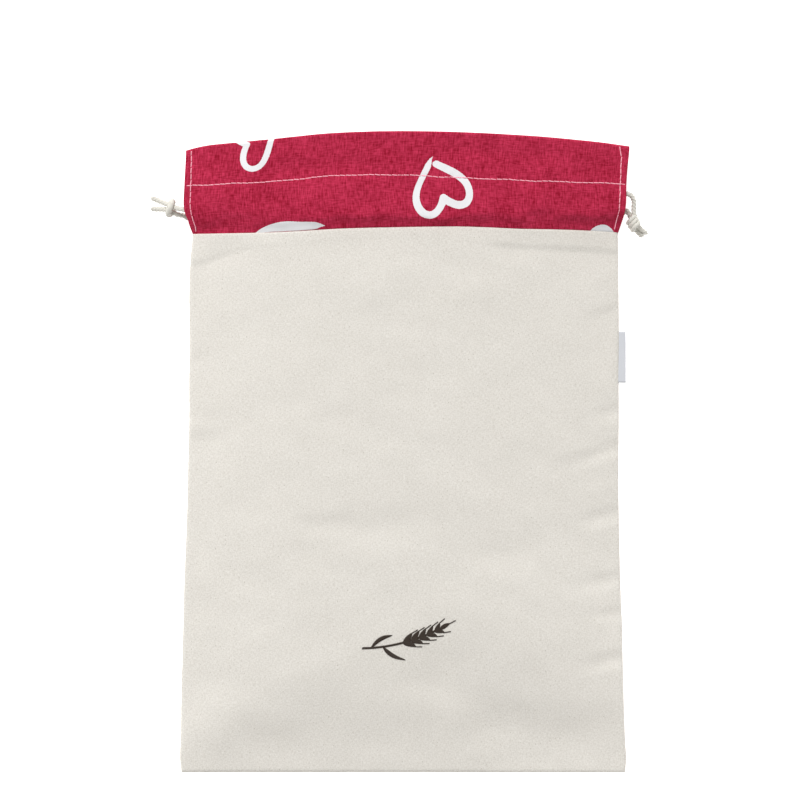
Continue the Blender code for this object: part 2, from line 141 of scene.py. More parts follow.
class Lay:
    """Where a cloth lies: a table of points along and across it, read smoothly in between."""

    ROUNDS = 10

    def __init__(self, table: np.ndarray) -> None:
        """Keeps the table, with one more row and column at each edge to lead the reading over it.

        Args:
            table: rows x columns x 3; rows run up the bag and columns to the right.
        """
        self.table = np.pad(table, ((1, 1), (1, 1), (0, 0)), mode="reflect", reflect_type="odd")
        middle_row, middle_column = table.shape[0] // 2, table.shape[1] // 2
        self.width = float(table[middle_row, -1, 0] - table[middle_row, 0, 0])
        self.length = float(table[-1, middle_column, 1] - table[0, middle_column, 1])

    @staticmethod
    def _taps(share: np.ndarray, count: int) -> tuple[np.ndarray, np.ndarray]:
        """Which four table entries lie around each share, and how much each of them counts.

        Args:
            share: where the table is read, from 0 to 1.
            count: how many entries it has that way.

        Returns:
            The first of the four entries and the weights of the four, for each share.
        """
        place = np.clip(share, 0.0, 1.0) * (count - 1)
        first = np.minimum(place.astype(int), count - 2)
        f = place - first
        weights = (
            -0.5 * f + f**2 - 0.5 * f**3,
            1 - 2.5 * f**2 + 1.5 * f**3,
            0.5 * f + 2 * f**2 - 1.5 * f**3,
            -0.5 * f**2 + 0.5 * f**3,
        )
        return first, np.stack(weights, axis=-1)

    def at(self, across: np.ndarray, along: np.ndarray) -> np.ndarray:
        """Points of the cloth.

        Args:
            across: shares of the width, from the left edge.
            along: shares of the length, from the edge nearest to the bag's bottom.

        Returns:
            The points.
        """
        across, along = paired(across, along)
        column, column_weight = self._taps(across, self.table.shape[1] - 2)
        row, row_weight = self._taps(along, self.table.shape[0] - 2)
        total = np.zeros(across.shape + (3,))
        for i in range(row_weight.shape[-1]):
            for j in range(column_weight.shape[-1]):
                weight = row_weight[..., i] * column_weight[..., j]
                total += weight[..., None] * self.table[row + i, column + j]
        return total

    def locate(self, x: np.ndarray, y: np.ndarray) -> tuple[np.ndarray, np.ndarray]:
        """Finds where the cloth lies over places of the floor.

        Args:
            x: the places' x.
            y: the places' y.

        Returns:
            The shares across and along the cloth.
        """
        across, along = np.full(np.shape(x), 0.5), np.full(np.shape(y), 0.5)
        for _ in range(self.ROUNDS):
            place = self.at(across, along)
            across = across + (x - place[..., 0]) / self.width
            along = along + (y - place[..., 1]) / self.length
        return across, along


class Solid:
    """A CAD node's solid, read for where the cloth that dresses it has to lie."""

    def __init__(self, node: str) -> None:
        """Reads the node's points, its triangles' edges and a tree for casting rays.

        Args:
            node: the node's name.
        """
        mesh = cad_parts[node].data
        mesh.calc_loop_triangles()
        points = np.empty(len(mesh.vertices) * 3, dtype=np.float32)
        mesh.vertices.foreach_get("co", points)
        corners = np.empty(len(mesh.loop_triangles) * 3, dtype=np.int32)
        mesh.loop_triangles.foreach_get("vertices", corners)
        self.points = points.reshape(-1, 3).astype(float)
        triangles = corners.reshape(-1, 3)
        self.edges = np.concatenate((triangles[:, :2], triangles[:, 1:], triangles[:, ::2]))
        self.tree = BVHTree.FromPolygons(self.points.tolist(), triangles.tolist())

    def cut(self, axis: int, at: float) -> np.ndarray:
        """Where the solid's edges cross an upright plane.

        Args:
            axis: the floor axis that the plane stands across, 0 or 1.
            at: where on that axis it stands.

        Returns:
            The points, one for each edge that crosses.
        """
        a, b = self.points[self.edges[:, 0]], self.points[self.edges[:, 1]]
        crosses = (a[:, axis] <= at) != (b[:, axis] <= at)
        a, b = a[crosses], b[crosses]
        share = (at - a[:, axis]) / (b[:, axis] - a[:, axis])
        return a + share[:, None] * (b - a)

    def corner(self, east: int, north: int) -> np.ndarray:
        """The corner of the solid's outline that lies furthest towards east and north, each 1 or -1."""
        return self.points[np.argmax(self.points[:, 0] * east + self.points[:, 1] * north), :2]

    def edge(self, start: np.ndarray, end: np.ndarray, axis: int, high: bool, count: int) -> np.ndarray:
        """Points along one edge of the outline, from corner to corner.

        Args:
            start: the first corner.
            end: the last corner.
            axis: the floor axis along which the edge runs.
            high: True for the edge that lies higher on the other floor axis.
            count: how many points.

        Returns:
            The points, count x 2.
        """
        points = np.linspace(start, end, count)
        for point in points[1:-1]:
            found = self.cut(axis, point[axis])[:, 1 - axis]
            point[1 - axis] = found.max() if high else found.min()
        return points

    def height(self, x: float, y: float, above: bool) -> float | None:
        """Height of one of the solid's faces over a place of the floor.

        Args:
            x: the place's x.
            y: the place's y.
            above: True for the topmost face, False for the lowest one.

        Returns:
            The height, or None where the solid doesn't lie over the place.
        """
        side = 1.0 if above else -1.0
        hit = self.tree.ray_cast(Vector((x, y, side)), Vector((0, 0, -side)))[0]
        return None if hit is None else hit.z

    def middle(self, x: float) -> np.ndarray:
        """Middle of the solid where an upright plane across the bag cuts it."""
        found = self.cut(0, x)
        return np.array([x, *(found[:, 1:].min(axis=0) + found[:, 1:].max(axis=0)) / 2])


def softened(table: np.ndarray, passes: int) -> np.ndarray:
    """A table of points with its small steps smoothed out, its corners kept.

    Args:
        table: rows x columns x 3.
        passes: how often it is smoothed each way.

    Returns:
        The smoothed table.
    """
    for axis in (0, 1):
        for _ in range(passes):
            margin = [(1, 1) if n == axis else (0, 0) for n in range(3)]
            wide = np.pad(table, margin, mode="reflect", reflect_type="odd")
            wide = np.moveaxis(wide, axis, 0)
            table = np.moveaxis((wide[:-2] + 2 * wide[1:-1] + wide[2:]) / 4, 0, axis)
    return table


def lay_on(
    solid: Solid, above: bool, columns: int, rows: int, inset: tuple[float, float], passes: int,
    nudge: float = 0.4 * MM,
) -> Lay:
    """Reads where a cloth lies on one face of a solid.

    Args:
        solid: the CAD solid that the cloth dresses.
        above: True for the solid's upper face.
        columns: how many places are read across the cloth.
        rows: how many are read along it.
        inset: how far inside the lower and the upper edge the height is read.
        passes: how often the small steps are smoothed.
        nudge: how far a place moves inwards at a time, until the solid lies over it.

    Returns:
        The lay of the cloth.
    """
    low_left, low_right = solid.corner(-1, -1), solid.corner(1, -1)
    high_left, high_right = solid.corner(-1, 1), solid.corner(1, 1)
    low = solid.edge(low_left, low_right, 0, False, columns)[:, 1]
    high = solid.edge(high_left, high_right, 0, True, columns)[:, 1]
    left = solid.edge(low_left, high_left, 1, False, rows)[:, 0]
    right = solid.edge(low_right, high_right, 1, True, rows)[:, 0]
    across, along = np.meshgrid(np.linspace(0, 1, columns), np.linspace(0, 1, rows))
    table = np.zeros((rows, columns, 3))
    table[..., 0] = left[:, None] + across * (right - left)[:, None]
    table[..., 1] = low + along * (high - low)
    middle = table[rows // 2, columns // 2]
    for row in range(rows):
        for column in range(columns):
            x, y = table[row, column, :2]
            y = min(max(y, low[column] + inset[0]), high[column] - inset[1])
            found = None
            while found is None:
                x += math.copysign(nudge, middle[0] - x)
                found = solid.height(x, y, above)
            table[row, column, 2] = found
    return Lay(softened(table, passes))


@dataclass(frozen=True)
class Ripples:
    """The gentle unevenness of cloth that lies loosely, the same on each run.

    Args:
        seed: sets the waves apart from those of another cloth.
        shortest: the shortest wave.
        longest: the longest wave.
        height: how far the cloth rises and sinks.
        across: how much wider than long the waves lie, 1 for no direction.
        count: how many waves there are.
    """

    seed: int
    shortest: float
    longest: float
    height: float
    across: float = 1.0
    count: int = 26

    def at(self, x: np.ndarray, y: np.ndarray) -> np.ndarray:
        """How far the cloth is raised.

        Args:
            x: the x of places of the floor.
            y: their y.

        Returns:
            The rise over each place.
        """
        draw = np.random.default_rng(self.seed)
        total = np.zeros(np.shape(x))
        for _ in range(self.count):
            heading = draw.uniform(0, FULL_TURN)
            wave = draw.uniform(self.shortest, self.longest)
            way = x * math.cos(heading) / self.across + y * math.sin(heading)
            total += np.sin(FULL_TURN * way / wave + draw.uniform(0, FULL_TURN))
        return self.height * total / math.sqrt(self.count / 2)


@dataclass(frozen=True)
class Crease:
    """A soft fold: a straight run between two places, raised or sunk by lift over its width. Millimetres.

    Args:
        x0, y0: its first place.
        x1, y1: its last place.
        width: how far it reaches to each side.
        lift: how far it raises the cloth.
        fade: the share of its run over which it begins, 0 for all at once.
    """

    x0: float
    y0: float
    x1: float
    y1: float
    width: float
    lift: float
    fade: float = 0.0

    def at(self, x: np.ndarray, y: np.ndarray) -> np.ndarray:
        """How far it raises the cloth.

        Args:
            x: the x of places of the floor, in metres.
            y: their y.

        Returns:
            The rise over each place, in metres.
        """
        start = np.array([self.x0, self.y0]) * MM
        run = np.array([self.x1, self.y1]) * MM - start
        place = np.stack((x, y), axis=-1) - start
        share = np.clip(place @ run / (run @ run), 0, 1)
        off = np.linalg.norm(place - share[..., None] * run, axis=-1)
        begun = soft(share / self.fade) if self.fade else 1.0
        return self.lift * MM * soft(1 - off / (self.width * MM)) * begun


def folds(*rows: tuple[float, ...]) -> tuple[Crease, ...]:
    """A crease for each row of a crease's values."""
    return tuple(Crease(*row) for row in rows)


class Flow:
    """A shader socket that takes part in Python arithmetic, each operator adding its Math node."""

    def __init__(self, maker: "NodeMaker", socket: bpy.types.NodeSocket) -> None:
        """Keeps the socket and the maker that adds nodes behind it."""
        self.maker, self.socket = maker, socket

    def math(self, operation: str, *others: "Flow | float") -> "Flow":
        """This socket's value through a Math node, with the node's other values after it."""
        return self.maker.add("ShaderNodeMath", {"operation": operation}, dict(enumerate((self, *others))))

    def out(self, name: str) -> "Flow":
        """Another output of the same node."""
        return Flow(self.maker, self.socket.node.outputs[name])

    def clamped(self) -> "Flow":
        """The value, kept from 0 to 1."""
        return self.math("MINIMUM", 1.0).math("MAXIMUM", 0.0)

    def wave(self) -> "Flow":
        """The sine of pi times the value, so that it turns about at each whole number."""
        return (self * math.pi).math("SINE")

    def __add__(self, other: "Flow | float") -> "Flow":
        """The sum."""
        return self.math("ADD", other)

    __radd__ = __add__

    def __sub__(self, other: "Flow | float") -> "Flow":
        """The difference."""
        return self.math("SUBTRACT", other)

    def __rsub__(self, other: float) -> "Flow":
        """The difference, the other way about."""
        return self * -1.0 + other

    def __mul__(self, other: "Flow | float") -> "Flow":
        """The product."""
        return self.math("MULTIPLY", other)

    __rmul__ = __mul__

    def __truediv__(self, other: "Flow | float") -> "Flow":
        """The quotient."""
        return self.math("DIVIDE", other)

    def __abs__(self) -> "Flow":
        """The value without its sign."""
        return self.math("ABSOLUTE")


class NodeMaker:
    """One material and the nodes behind its Principled shader."""

    def __init__(self, name: str) -> None:
        """Makes the material.

        Args:
            name: the material's name.
        """
        self.material = bpy.data.materials.new(name)
        self.material.use_nodes = True
        self.tree = self.material.node_tree
        self.shader = self.tree.nodes["Principled BSDF"]

    def add(
        self, kind: str, settings: dict | None = None, sockets: dict | None = None, output: int = 0
    ) -> Flow:
        """Adds a node.

        Args:
            kind: the node's type.
            settings: its properties, which are set first.
            sockets: values or flows for its inputs, by name or number.
            output: which of its outputs is wanted.

        Returns:
            That output.
        """
        node = self.tree.nodes.new(kind)
        for name, value in (settings or {}).items():
            setattr(node, name, value)
        for name, value in (sockets or {}).items():
            self.feed(node.inputs[name], value)
        return Flow(self, node.outputs[output])

    def feed(self, socket: bpy.types.NodeSocket, value: "Flow | float | tuple") -> None:
        """Links a flow to a socket, or sets a plain value on it.

        Args:
            socket: the socket.
            value: what it gets.
        """
        if isinstance(value, Flow):
            self.tree.links.new(value.socket, socket)
        else:
            socket.default_value = value

    def finish(self, **sockets: "Flow | float | tuple") -> bpy.types.Material:
        """Feeds the shader.

        Args:
            sockets: values or flows for its sockets, named with _ for a space.

        Returns:
            The finished material.
        """
        for name, value in sockets.items():
            self.feed(self.shader.inputs[name.replace("_", " ")], value)
        return self.material

    def place(self) -> tuple[Flow, Flow]:
        """Reads where a point lies on its cloth.

        Returns:
            How far across and along the cloth, in millimetres.
        """
        cloth = self.add("ShaderNodeUVMap", {"uv_map": "cloth"})
        scaled = self.add("ShaderNodeVectorMath", {"operation": "SCALE"}, {0: cloth, "Scale": 1 / MM})
        parts = self.add("ShaderNodeSeparateXYZ", {}, {0: scaled})
        return parts, parts.out("Y")

    def noise(self, x: "Flow | float", y: "Flow | float", detail: float = 2.0) -> Flow:
        """Noise over two coordinates, with a unit from one bump to the next.

        Args:
            x: the first coordinate.
            y: the second one.
            detail: how many finer layers it has.

        Returns:
            The noise, about -1 to 1.
        """
        where = self.add("ShaderNodeCombineXYZ", {}, {0: x, 1: y})
        sockets = {"Vector": where, "Scale": 1.0, "Detail": detail}
        return (self.add("ShaderNodeTexNoise", {"noise_dimensions": "2D"}, sockets) - 0.5) * 2.0

    def shaded(self, colour: "Flow | Colour", strength: Flow) -> Flow:
        """A colour made lighter or darker."""
        base = colour if isinstance(colour, Flow) else colour[:3]
        return self.add("ShaderNodeVectorMath", {"operation": "SCALE"}, {0: base, "Scale": strength})

    def mixed(self, share: Flow, first: "Flow | Colour", second: "Flow | Colour") -> Flow:
        """The first colour where share is 0, and the second where it is 1."""
        return self.add("ShaderNodeMix", {"data_type": "RGBA"}, {0: share, 6: first, 7: second}, output=2)

    def bump(self, height: Flow, depth: float, strength: float = 1.0) -> Flow:
        """A surface roughened by a height from 0 to 1, which stands for a depth in metres."""
        return self.add("ShaderNodeBump", {}, {"Height": height, "Distance": depth, "Strength": strength})


@dataclass(frozen=True)
class Print:
    """White ink on a cloth, inside the edge that the cloth's print_edge attribute gives in millimetres.

    Args:
        ink: its colour.
        ragged: how far its edge wanders.
        softness: over what distance it ends.
        show: how much of the cloth's streaks, clouds and gaps shows in it; the gaps show as painted shade.
        fill: how much of the weave's relief it fills.
        level: how high it lies.
    """

    ink: Colour
    ragged: float = 0.22
    softness: float = 0.16
    show: tuple[float, float, float] = (0.03, 0.02, 0.04)
    fill: float = 0.35
    level: float = 0.3

    def share(self, maker: NodeMaker, x: Flow, y: Flow) -> Flow:
        """How much of the cloth's colour the ink hides.

        Args:
            maker: adds the nodes.
            x: millimetres across the cloth.
            y: millimetres along it.

        Returns:
            1 under the ink and 0 beside it.
        """
        edge = maker.add("ShaderNodeAttribute", {"attribute_name": "print_edge"}, output=2)
        wander = maker.noise(x * 1.1, y * 1.1, detail=3.0) * self.ragged
        return (0.5 - (edge + wander) / self.softness).clamped()


@dataclass(frozen=True)
class Woven:
    """The finish of a plain-woven cloth. Sizes in millimetres.

    Args:
        name: the material's name.
        deep: the colour of the cloth's darkest yarns.
        pale: the colour of its palest ones; most of the cloth lies halfway.
        thread: from one thread to the next.
        depth: how deep the weave's relief is.
        gaps: how much darker it is between the threads, as painted shade, and a little lighter on their
            crowns, as painted light.
        yarn, slub: how wide and how long a run of uneven yarn shows.
        streaks, bars: how strongly uneven yarns along and across the cloth stand out.
        cloud, mottle: how wide the colour's clouds are, and how strongly they stand out.
        patches: how much it drifts over the cloth.
        flecks: how dark the seed flecks are, 0 for none.
        sheen: strength of the soft light at grazing angles.
        print: the ink on it, if any.
        wander, wander_rate: how far the threads wander, in threads, and how often for each millimetre.
        patch: how wide the drift of its colour is.
        evenly: how light the weave is on the whole, which leaves the colour halfway.
        crisp: how sharply a thread ends where it dives under the next.
        spots: where in the noise the bars and the clouds are read, apart from the streaks.
        cloud_tall: how much longer than wide a cloud is.
        relief: how much of its relief is weave, streaks and bars.
        fleck_rates: how many places for a fleck there are across and along a millimetre.
        fleck_rare: the share of them that stay empty.
        fleck_size: half a fleck's width, as a share of its place.
        fleck_crisp: how sharply the flecks are picked out and how sharply they end.
    """

    name: str
    deep: Colour
    pale: Colour
    thread: float
    depth: float
    gaps: float
    yarn: float
    slub: float
    streaks: float
    bars: float
    cloud: float
    mottle: float
    patches: float
    flecks: float
    sheen: float
    print: Print | None = None
    wander: float = 0.55
    wander_rate: float = 0.11
    patch: float = 38.0
    evenly: float = 0.7
    crisp: float = 2.5
    spots: tuple[float, float] = (40.0, 7.0)
    cloud_tall: float = 1.3
    relief: tuple[float, float, float] = (0.75, 0.16, 0.12)
    fleck_rates: tuple[float, float] = (0.3, 0.22)
    fleck_rare: float = 0.86
    fleck_size: float = 0.1
    fleck_crisp: tuple[float, float] = (30.0, 22.0)

    def material(self) -> bpy.types.Material:
        """Builds the material.

        Returns:
            The material.
        """
        maker = NodeMaker(self.name)
        x, y = maker.place()
        drift = maker.noise(x * self.wander_rate, y * self.wander_rate) * (self.wander * self.thread)
        warp = ((x + drift) / self.thread).wave()
        weft = ((y - drift) / self.thread).wave()
        over = (warp * weft * self.crisp + 0.5).clamped()
        weave = over * abs(warp) + (1 - over) * abs(weft)
        streak = maker.noise(x / self.yarn, y / self.slub, detail=3.0)
        bar = maker.noise(x / self.slub + self.spots[0], y / self.yarn, detail=3.0)
        cloud = maker.noise(x / self.cloud + self.spots[1], y / (self.cloud_tall * self.cloud), detail=4.0)
        patch = maker.noise(x / self.patch, y / self.patch)
        shade = streak * self.streaks + bar * self.bars + cloud * self.mottle + patch * self.patches
        # Painted shade in the weave's gaps between the threads, and a little painted light on the threads'
        # crowns.
        shade = shade + self.gaps * (weave - self.evenly)
        if self.flecks:
            shade = shade - self._fleck(maker, x, y) * self.flecks
        colour = maker.mixed((shade + 0.5).clamped(), self.deep, self.pale)
        height = weave * self.relief[0] + streak * self.relief[1] + bar * self.relief[2]
        if self.print:
            inked = self.print.share(maker, x, y)
            streaked, clouded, gapped = self.print.show
            # The ink takes the cloth's yarn streaks and colour clouds, and painted shade in the weave's gaps.
            ink_tone_and_gap_shade = 1 + streak * streaked + cloud * clouded - (1 - weave) * gapped
            colour = maker.mixed(inked, colour, maker.shaded(self.print.ink, ink_tone_and_gap_shade))
            height = height * (1 - inked * self.print.fill) + inked * self.print.level
        normal = maker.bump(height, self.depth * MM)
        return maker.finish(
            Base_Color=colour, Roughness=0.86, Sheen_Weight=self.sheen, Sheen_Roughness=0.5,
            Specular_IOR_Level=0.15, Normal=normal,
        )

    def _fleck(self, maker: NodeMaker, x: Flow, y: Flow) -> Flow:
        """The few dark specks of seed husk in raw cloth.

        Args:
            maker: adds the nodes.
            x: millimetres across the cloth.
            y: millimetres along it.

        Returns:
            1 on a speck, and 0 elsewhere.
        """
        across, along = self.fleck_rates
        where = maker.add("ShaderNodeCombineXYZ", {}, {0: x * across, 1: y * along})
        sockets = {"Vector": where, "Scale": 1.0}
        cell = maker.add("ShaderNodeTexVoronoi", {"voronoi_dimensions": "2D"}, sockets)
        chance = maker.add("ShaderNodeSeparateColor", {}, {0: cell.out("Color")})
        rare = ((chance - self.fleck_rare) * self.fleck_crisp[0]).clamped()
        return ((self.fleck_size - cell) * self.fleck_crisp[1]).clamped() * rare


@dataclass(frozen=True)
class Spun:
    """The finish of a cord's or thread's surface.

    Args:
        name: the material's name.
        colour: its colour.
        fibre: width of the fibre streaks in millimetres.
        uneven: how much the streaks differ in tone.
        sheen: strength of the soft light at grazing angles.
        roughness: how matt it is.
        twisted: True for a cord, whose streaks follow its strands; False for a thread.
        slants: how far a cord's streak runs round it for 1 along it, and how far it is drawn out.
        stretch: how much longer than wide the streak is.
        specks: how many specks a millimetre has, and where in the noise they are read.
        blend: how strongly streaks and specks show.
        relief: depth of the surface, as a share of the fibre.
    """

    name: str
    colour: Colour
    fibre: float
    uneven: float
    sheen: float
    roughness: float
    twisted: bool = False
    slants: tuple[float, float] = (0.55, 0.2)
    stretch: float = 7.0
    specks: tuple[float, float] = (1.7, 9.0)
    blend: tuple[float, float] = (0.8, 0.4)
    relief: float = 0.35

    def material(self) -> bpy.types.Material:
        """Builds the material: streaks along a cord's own surface, or fine grain on a thread.

        Returns:
            The material.
        """
        maker = NodeMaker(self.name)
        if self.twisted:
            x, y = maker.place()
            round_it, drawn = self.slants
            over, down = (x + y * round_it) / self.fibre, (y - x * drawn) / (self.stretch * self.fibre)
            streak = maker.noise(over, down, detail=4.0)
            rate, spot = self.specks
            speck = maker.noise(x * rate + spot, y * rate)
            streak = streak * self.blend[0] + speck * self.blend[1]
        else:
            where = maker.add("ShaderNodeTexCoord", output=3)
            grain = maker.add("ShaderNodeTexNoise", {}, {"Vector": where, "Scale": 1 / (self.fibre * MM)})
            streak = (grain - 0.5) * 2.0
        normal = maker.bump(streak * 0.5 + 0.5, self.fibre * self.relief * MM, strength=0.7)
        return maker.finish(
            Base_Color=maker.shaded(self.colour, 1 + streak * self.uneven), Roughness=self.roughness,
            Sheen_Weight=self.sheen, Sheen_Roughness=0.4, Specular_IOR_Level=0.3, Normal=normal,
        )


@dataclass(frozen=True)
class Satin:
    """The finish of a woven ribbon: fine ribs across it, a rib in millimetres apart, and a soft gloss."""

    name: str
    colour: Colour
    rib: float = 0.32

    def material(self) -> bpy.types.Material:
        """Builds the material.

        Returns:
            The material.
        """
        maker = NodeMaker(self.name)
        x, y = maker.place()
        rib = abs((y / self.rib).wave())
        grain = maker.noise(x * 2.0, y * 6.0)
        # Painted shade between the ribs and a little painted light on their crowns; the grain is the ribbon's
        # own uneven tone.
        shade = 0.97 + rib * 0.04 + grain * 0.02
        normal = maker.bump(rib, 0.05 * MM)
        return maker.finish(
            Base_Color=maker.shaded(self.colour, shade), Roughness=0.42, Sheen_Weight=0.15,
            Specular_IOR_Level=0.5, Normal=normal,
        )


def deselect() -> None:
    """Leaves nothing selected and no object active."""
    bpy.ops.object.select_all(action="DESELECT")
    bpy.context.view_layer.objects.active = None


def apply_all(obj: bpy.types.Object) -> None:
    """Applies an object's modifiers in order.

    Args:
        obj: the object.
    """
    deselect()
    obj.select_set(True)
    bpy.context.view_layer.objects.active = obj
    for modifier in list(obj.modifiers):
        bpy.ops.object.modifier_apply(modifier=modifier.name)


def measured(points: np.ndarray) -> np.ndarray:
    """Measures a grid over its own cloth.

    Args:
        points: rows x columns x 3.

    Returns:
        How far each point lies across and along the cloth, from the middle of its first row.
    """
    across = np.zeros(points.shape[:2])
    across[:, 1:] = np.cumsum(np.linalg.norm(np.diff(points, axis=1), axis=-1), axis=1)
    across -= across[:, points.shape[1] // 2][:, None]
    along = np.zeros(points.shape[:2])
    along[1:] = np.cumsum(np.linalg.norm(np.diff(points, axis=0), axis=-1), axis=0)
    return np.stack((across, along), axis=-1)


def sheet_object(
    name: str, points: np.ndarray, marks: dict[str, np.ndarray] | None = None
) -> bpy.types.Object:
    """A grid laid where its points say, with a UV map in metres of its own cloth.

    Args:
        name: the object's name.
        points: rows x columns x 3; seen from outside, columns run right and rows run up.
        marks: values for each point, kept as attributes by name.

    Returns:
        The object.
    """
    rows, columns = points.shape[:2]
    deselect()
    bpy.ops.mesh.primitive_grid_add(x_subdivisions=columns - 1, y_subdivisions=rows - 1, size=1.0)
    obj = bpy.context.active_object
    obj.name = obj.data.name = name
    mesh = obj.data
    flat = np.empty(len(mesh.vertices) * 3, dtype=np.float32)
    mesh.vertices.foreach_get("co", flat)
    column = np.rint((flat[0::3] + 0.5) * (columns - 1)).astype(int)
    row = np.rint((flat[1::3] + 0.5) * (rows - 1)).astype(int)
    mesh.vertices.foreach_set("co", points[row, column].astype(np.float32).ravel())
    for mark, values in (marks or {}).items():
        layer = mesh.attributes.new(mark, "FLOAT", "POINT")
        layer.data.foreach_set("value", values[row, column].astype(np.float32))
    vertex = np.empty(len(mesh.loops), dtype=np.int32)
    mesh.loops.foreach_get("vertex_index", vertex)
    while mesh.uv_layers:
        mesh.uv_layers.remove(mesh.uv_layers[0])
    layer = mesh.uv_layers.new(name="cloth")
    layer.data.foreach_set("uv", measured(points)[row, column][vertex].astype(np.float32).ravel())
    mesh.shade_smooth()
    mesh.update()
    return obj


def thicken(obj: bpy.types.Object, thickness: float) -> None:
    """Gives a sheet its thickness, inwards from the face that it shows.

    Args:
        obj: the sheet.
        thickness: how thick it becomes.
    """
    solid = obj.modifiers.new("Thickness", "SOLIDIFY")
    solid.thickness = thickness
    solid.offset = -1.0
    apply_all(obj)


def dress(obj: bpy.types.Object, look: bpy.types.Material, slot: str, *nodes: str) -> bpy.types.Object:
    """Gives a finished piece its material and its body, and hides the CAD nodes it stands for.

    Args:
        obj: the piece.
        look: its material.
        slot: the name of a material slot; not used.
        nodes: the CAD nodes that it stands for.

    Returns:
        The piece.
    """
    obj.data.materials.clear()
    obj.data.materials.append(look)
    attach(obj, ROOT)
    if nodes:
        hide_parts(*nodes)
    LOG.info("%s: %d faces", obj.name, len(obj.data.polygons))
    return obj


def facing(
    surface: Callable[[np.ndarray, np.ndarray], np.ndarray], across: np.ndarray, along: np.ndarray,
    outward: float, small: float = 0.002,
) -> np.ndarray:
    """Unit vectors that stand on a surface.

    Args:
        surface: gives the surface's points from shares across and along it.
        across: shares across the surface.
        along: shares along it.
        outward: 1 for vectors on the side of the floor's up, -1 for those on the other side.
        small: by how large a share the surface is followed to each side.

    Returns:
        The vectors, one for each pair of shares.
    """
    right = surface(across + small, along) - surface(across - small, along)
    up = surface(across, along + small) - surface(across, along - small)
    normal = unit(np.cross(right, up))
    return normal * np.sign(normal[..., 2:]) * outward


@dataclass
class Stitches:
    """Single stitches of one thread, copied from one model. Metres.

    Args:
        width: the thread's width.
        rise: its height.
        proud: how much of its height its middle stands above the cloth, from the thread's own middle.
        dive: how it dives into the cloth from its straight half: for each step how far the step reaches and
            drops, and to what share the thread narrows.
    """

    width: float
    rise: float
    proud: float = 0.12
    sides: int = 8
    dive: tuple[tuple[float, float, float], ...] = ((0.13, 0.10, 0.92), (0.09, 0.22, 0.72), (0.03, 0.16, 0.4))

    def model(self) -> bpy.types.Object:
        """Models the stitch that all the others are copies of.

        Returns:
            A stitch of length, width and height 1 along X, which dives into the cloth at both ends.
        """
        deselect()
        flat = (0, math.pi / 2, 0)
        bpy.ops.mesh.primitive_cylinder_add(vertices=self.sides, radius=0.5, depth=0.5, rotation=flat)
        obj = bpy.context.active_object
        bpy.ops.object.transform_apply(location=True, rotation=True, scale=True)
        bpy.ops.object.mode_set(mode="EDIT")
        for way in (1, -1):
            for reach, drop, size in self.dive:
                work = bmesh.from_edit_mesh(obj.data)
                furthest = max(face.calc_center_median().x * way for face in work.faces)
                for face in work.faces:
                    face.select_set(face.calc_center_median().x * way > furthest - 1e-4)
                work.select_flush(True)
                bmesh.update_edit_mesh(obj.data)
                bpy.ops.mesh.extrude_region_move(TRANSFORM_OT_translate={"value": (reach * way, 0, -drop)})
                bpy.ops.transform.resize(value=(1, size, size))
        bpy.ops.object.mode_set(mode="OBJECT")
        obj.data.shade_smooth()
        return obj

    def lay(self, name: str, runs: list[Run]) -> bpy.types.Object:
        """Copies the model to each run and joins the copies.

        Args:
            name: the joined object's name.
            runs: each stitch's first and last place on the cloth and the way out of the cloth there.

        Returns:
            The joined object.
        """
        model = self.model()
        copies = []
        for start, end, out in runs:
            start, end, out = Vector(start), Vector(end), Vector(out)
            way = end - start
            side = out.cross(way).normalized()
            up = way.cross(side).normalized()
            middle = (start + end) / 2 + up * self.rise * self.proud
            axes = Matrix((way, side * self.width, up * self.rise)).transposed()
            mesh = model.data.copy()
            mesh.transform(Matrix.Translation(middle) @ axes.to_4x4())
            copy = bpy.data.objects.new(name, mesh)
            bpy.context.scene.collection.objects.link(copy)
            copies.append(copy)
        bpy.data.objects.remove(model, do_unlink=True)
        deselect()
        for copy in copies:
            copy.select_set(True)
        bpy.context.view_layer.objects.active = copies[0]
        bpy.ops.object.join()
        joined = bpy.context.active_object
        joined.name = joined.data.name = name
        return joined


def sewn(path: np.ndarray, out: np.ndarray, pitch: float, share: float, slant: float, seed: int) -> list[Run]:
    """The stitches of a row.

    Args:
        path: closely spaced points on the cloth that the row follows.
        out: the way out of the cloth at each point.
        pitch: from the start of one stitch to the next.
        share: how much of the pitch the thread shows.
        slant: how far a stitch starts to one side of the row and ends to the other.
        seed: sets the row apart from others.

    Returns:
        Each stitch's first and last place and the way out of the cloth.
    """
    draw = np.random.default_rng(seed)
    far = travelled(path)
    count = int(far[-1] / pitch)
    runs = []
    for n in range(count):
        start = (n + draw.uniform(*UNEVEN_START)) * far[-1] / count
        ends = np.array([start, start + pitch * (share + draw.uniform(*UNEVEN_LENGTH))])
        places, up = read_along(ends, far, path), read_along(ends.mean(), far, out)
        aside = unit(np.cross(up, places[1] - places[0]))
        places += aside * slant * (np.array([[1.0], [-1.0]]) + draw.uniform(*UNEVEN_SLANT, (2, 1)))
        runs.append((places[0], places[1], up))
    return runs


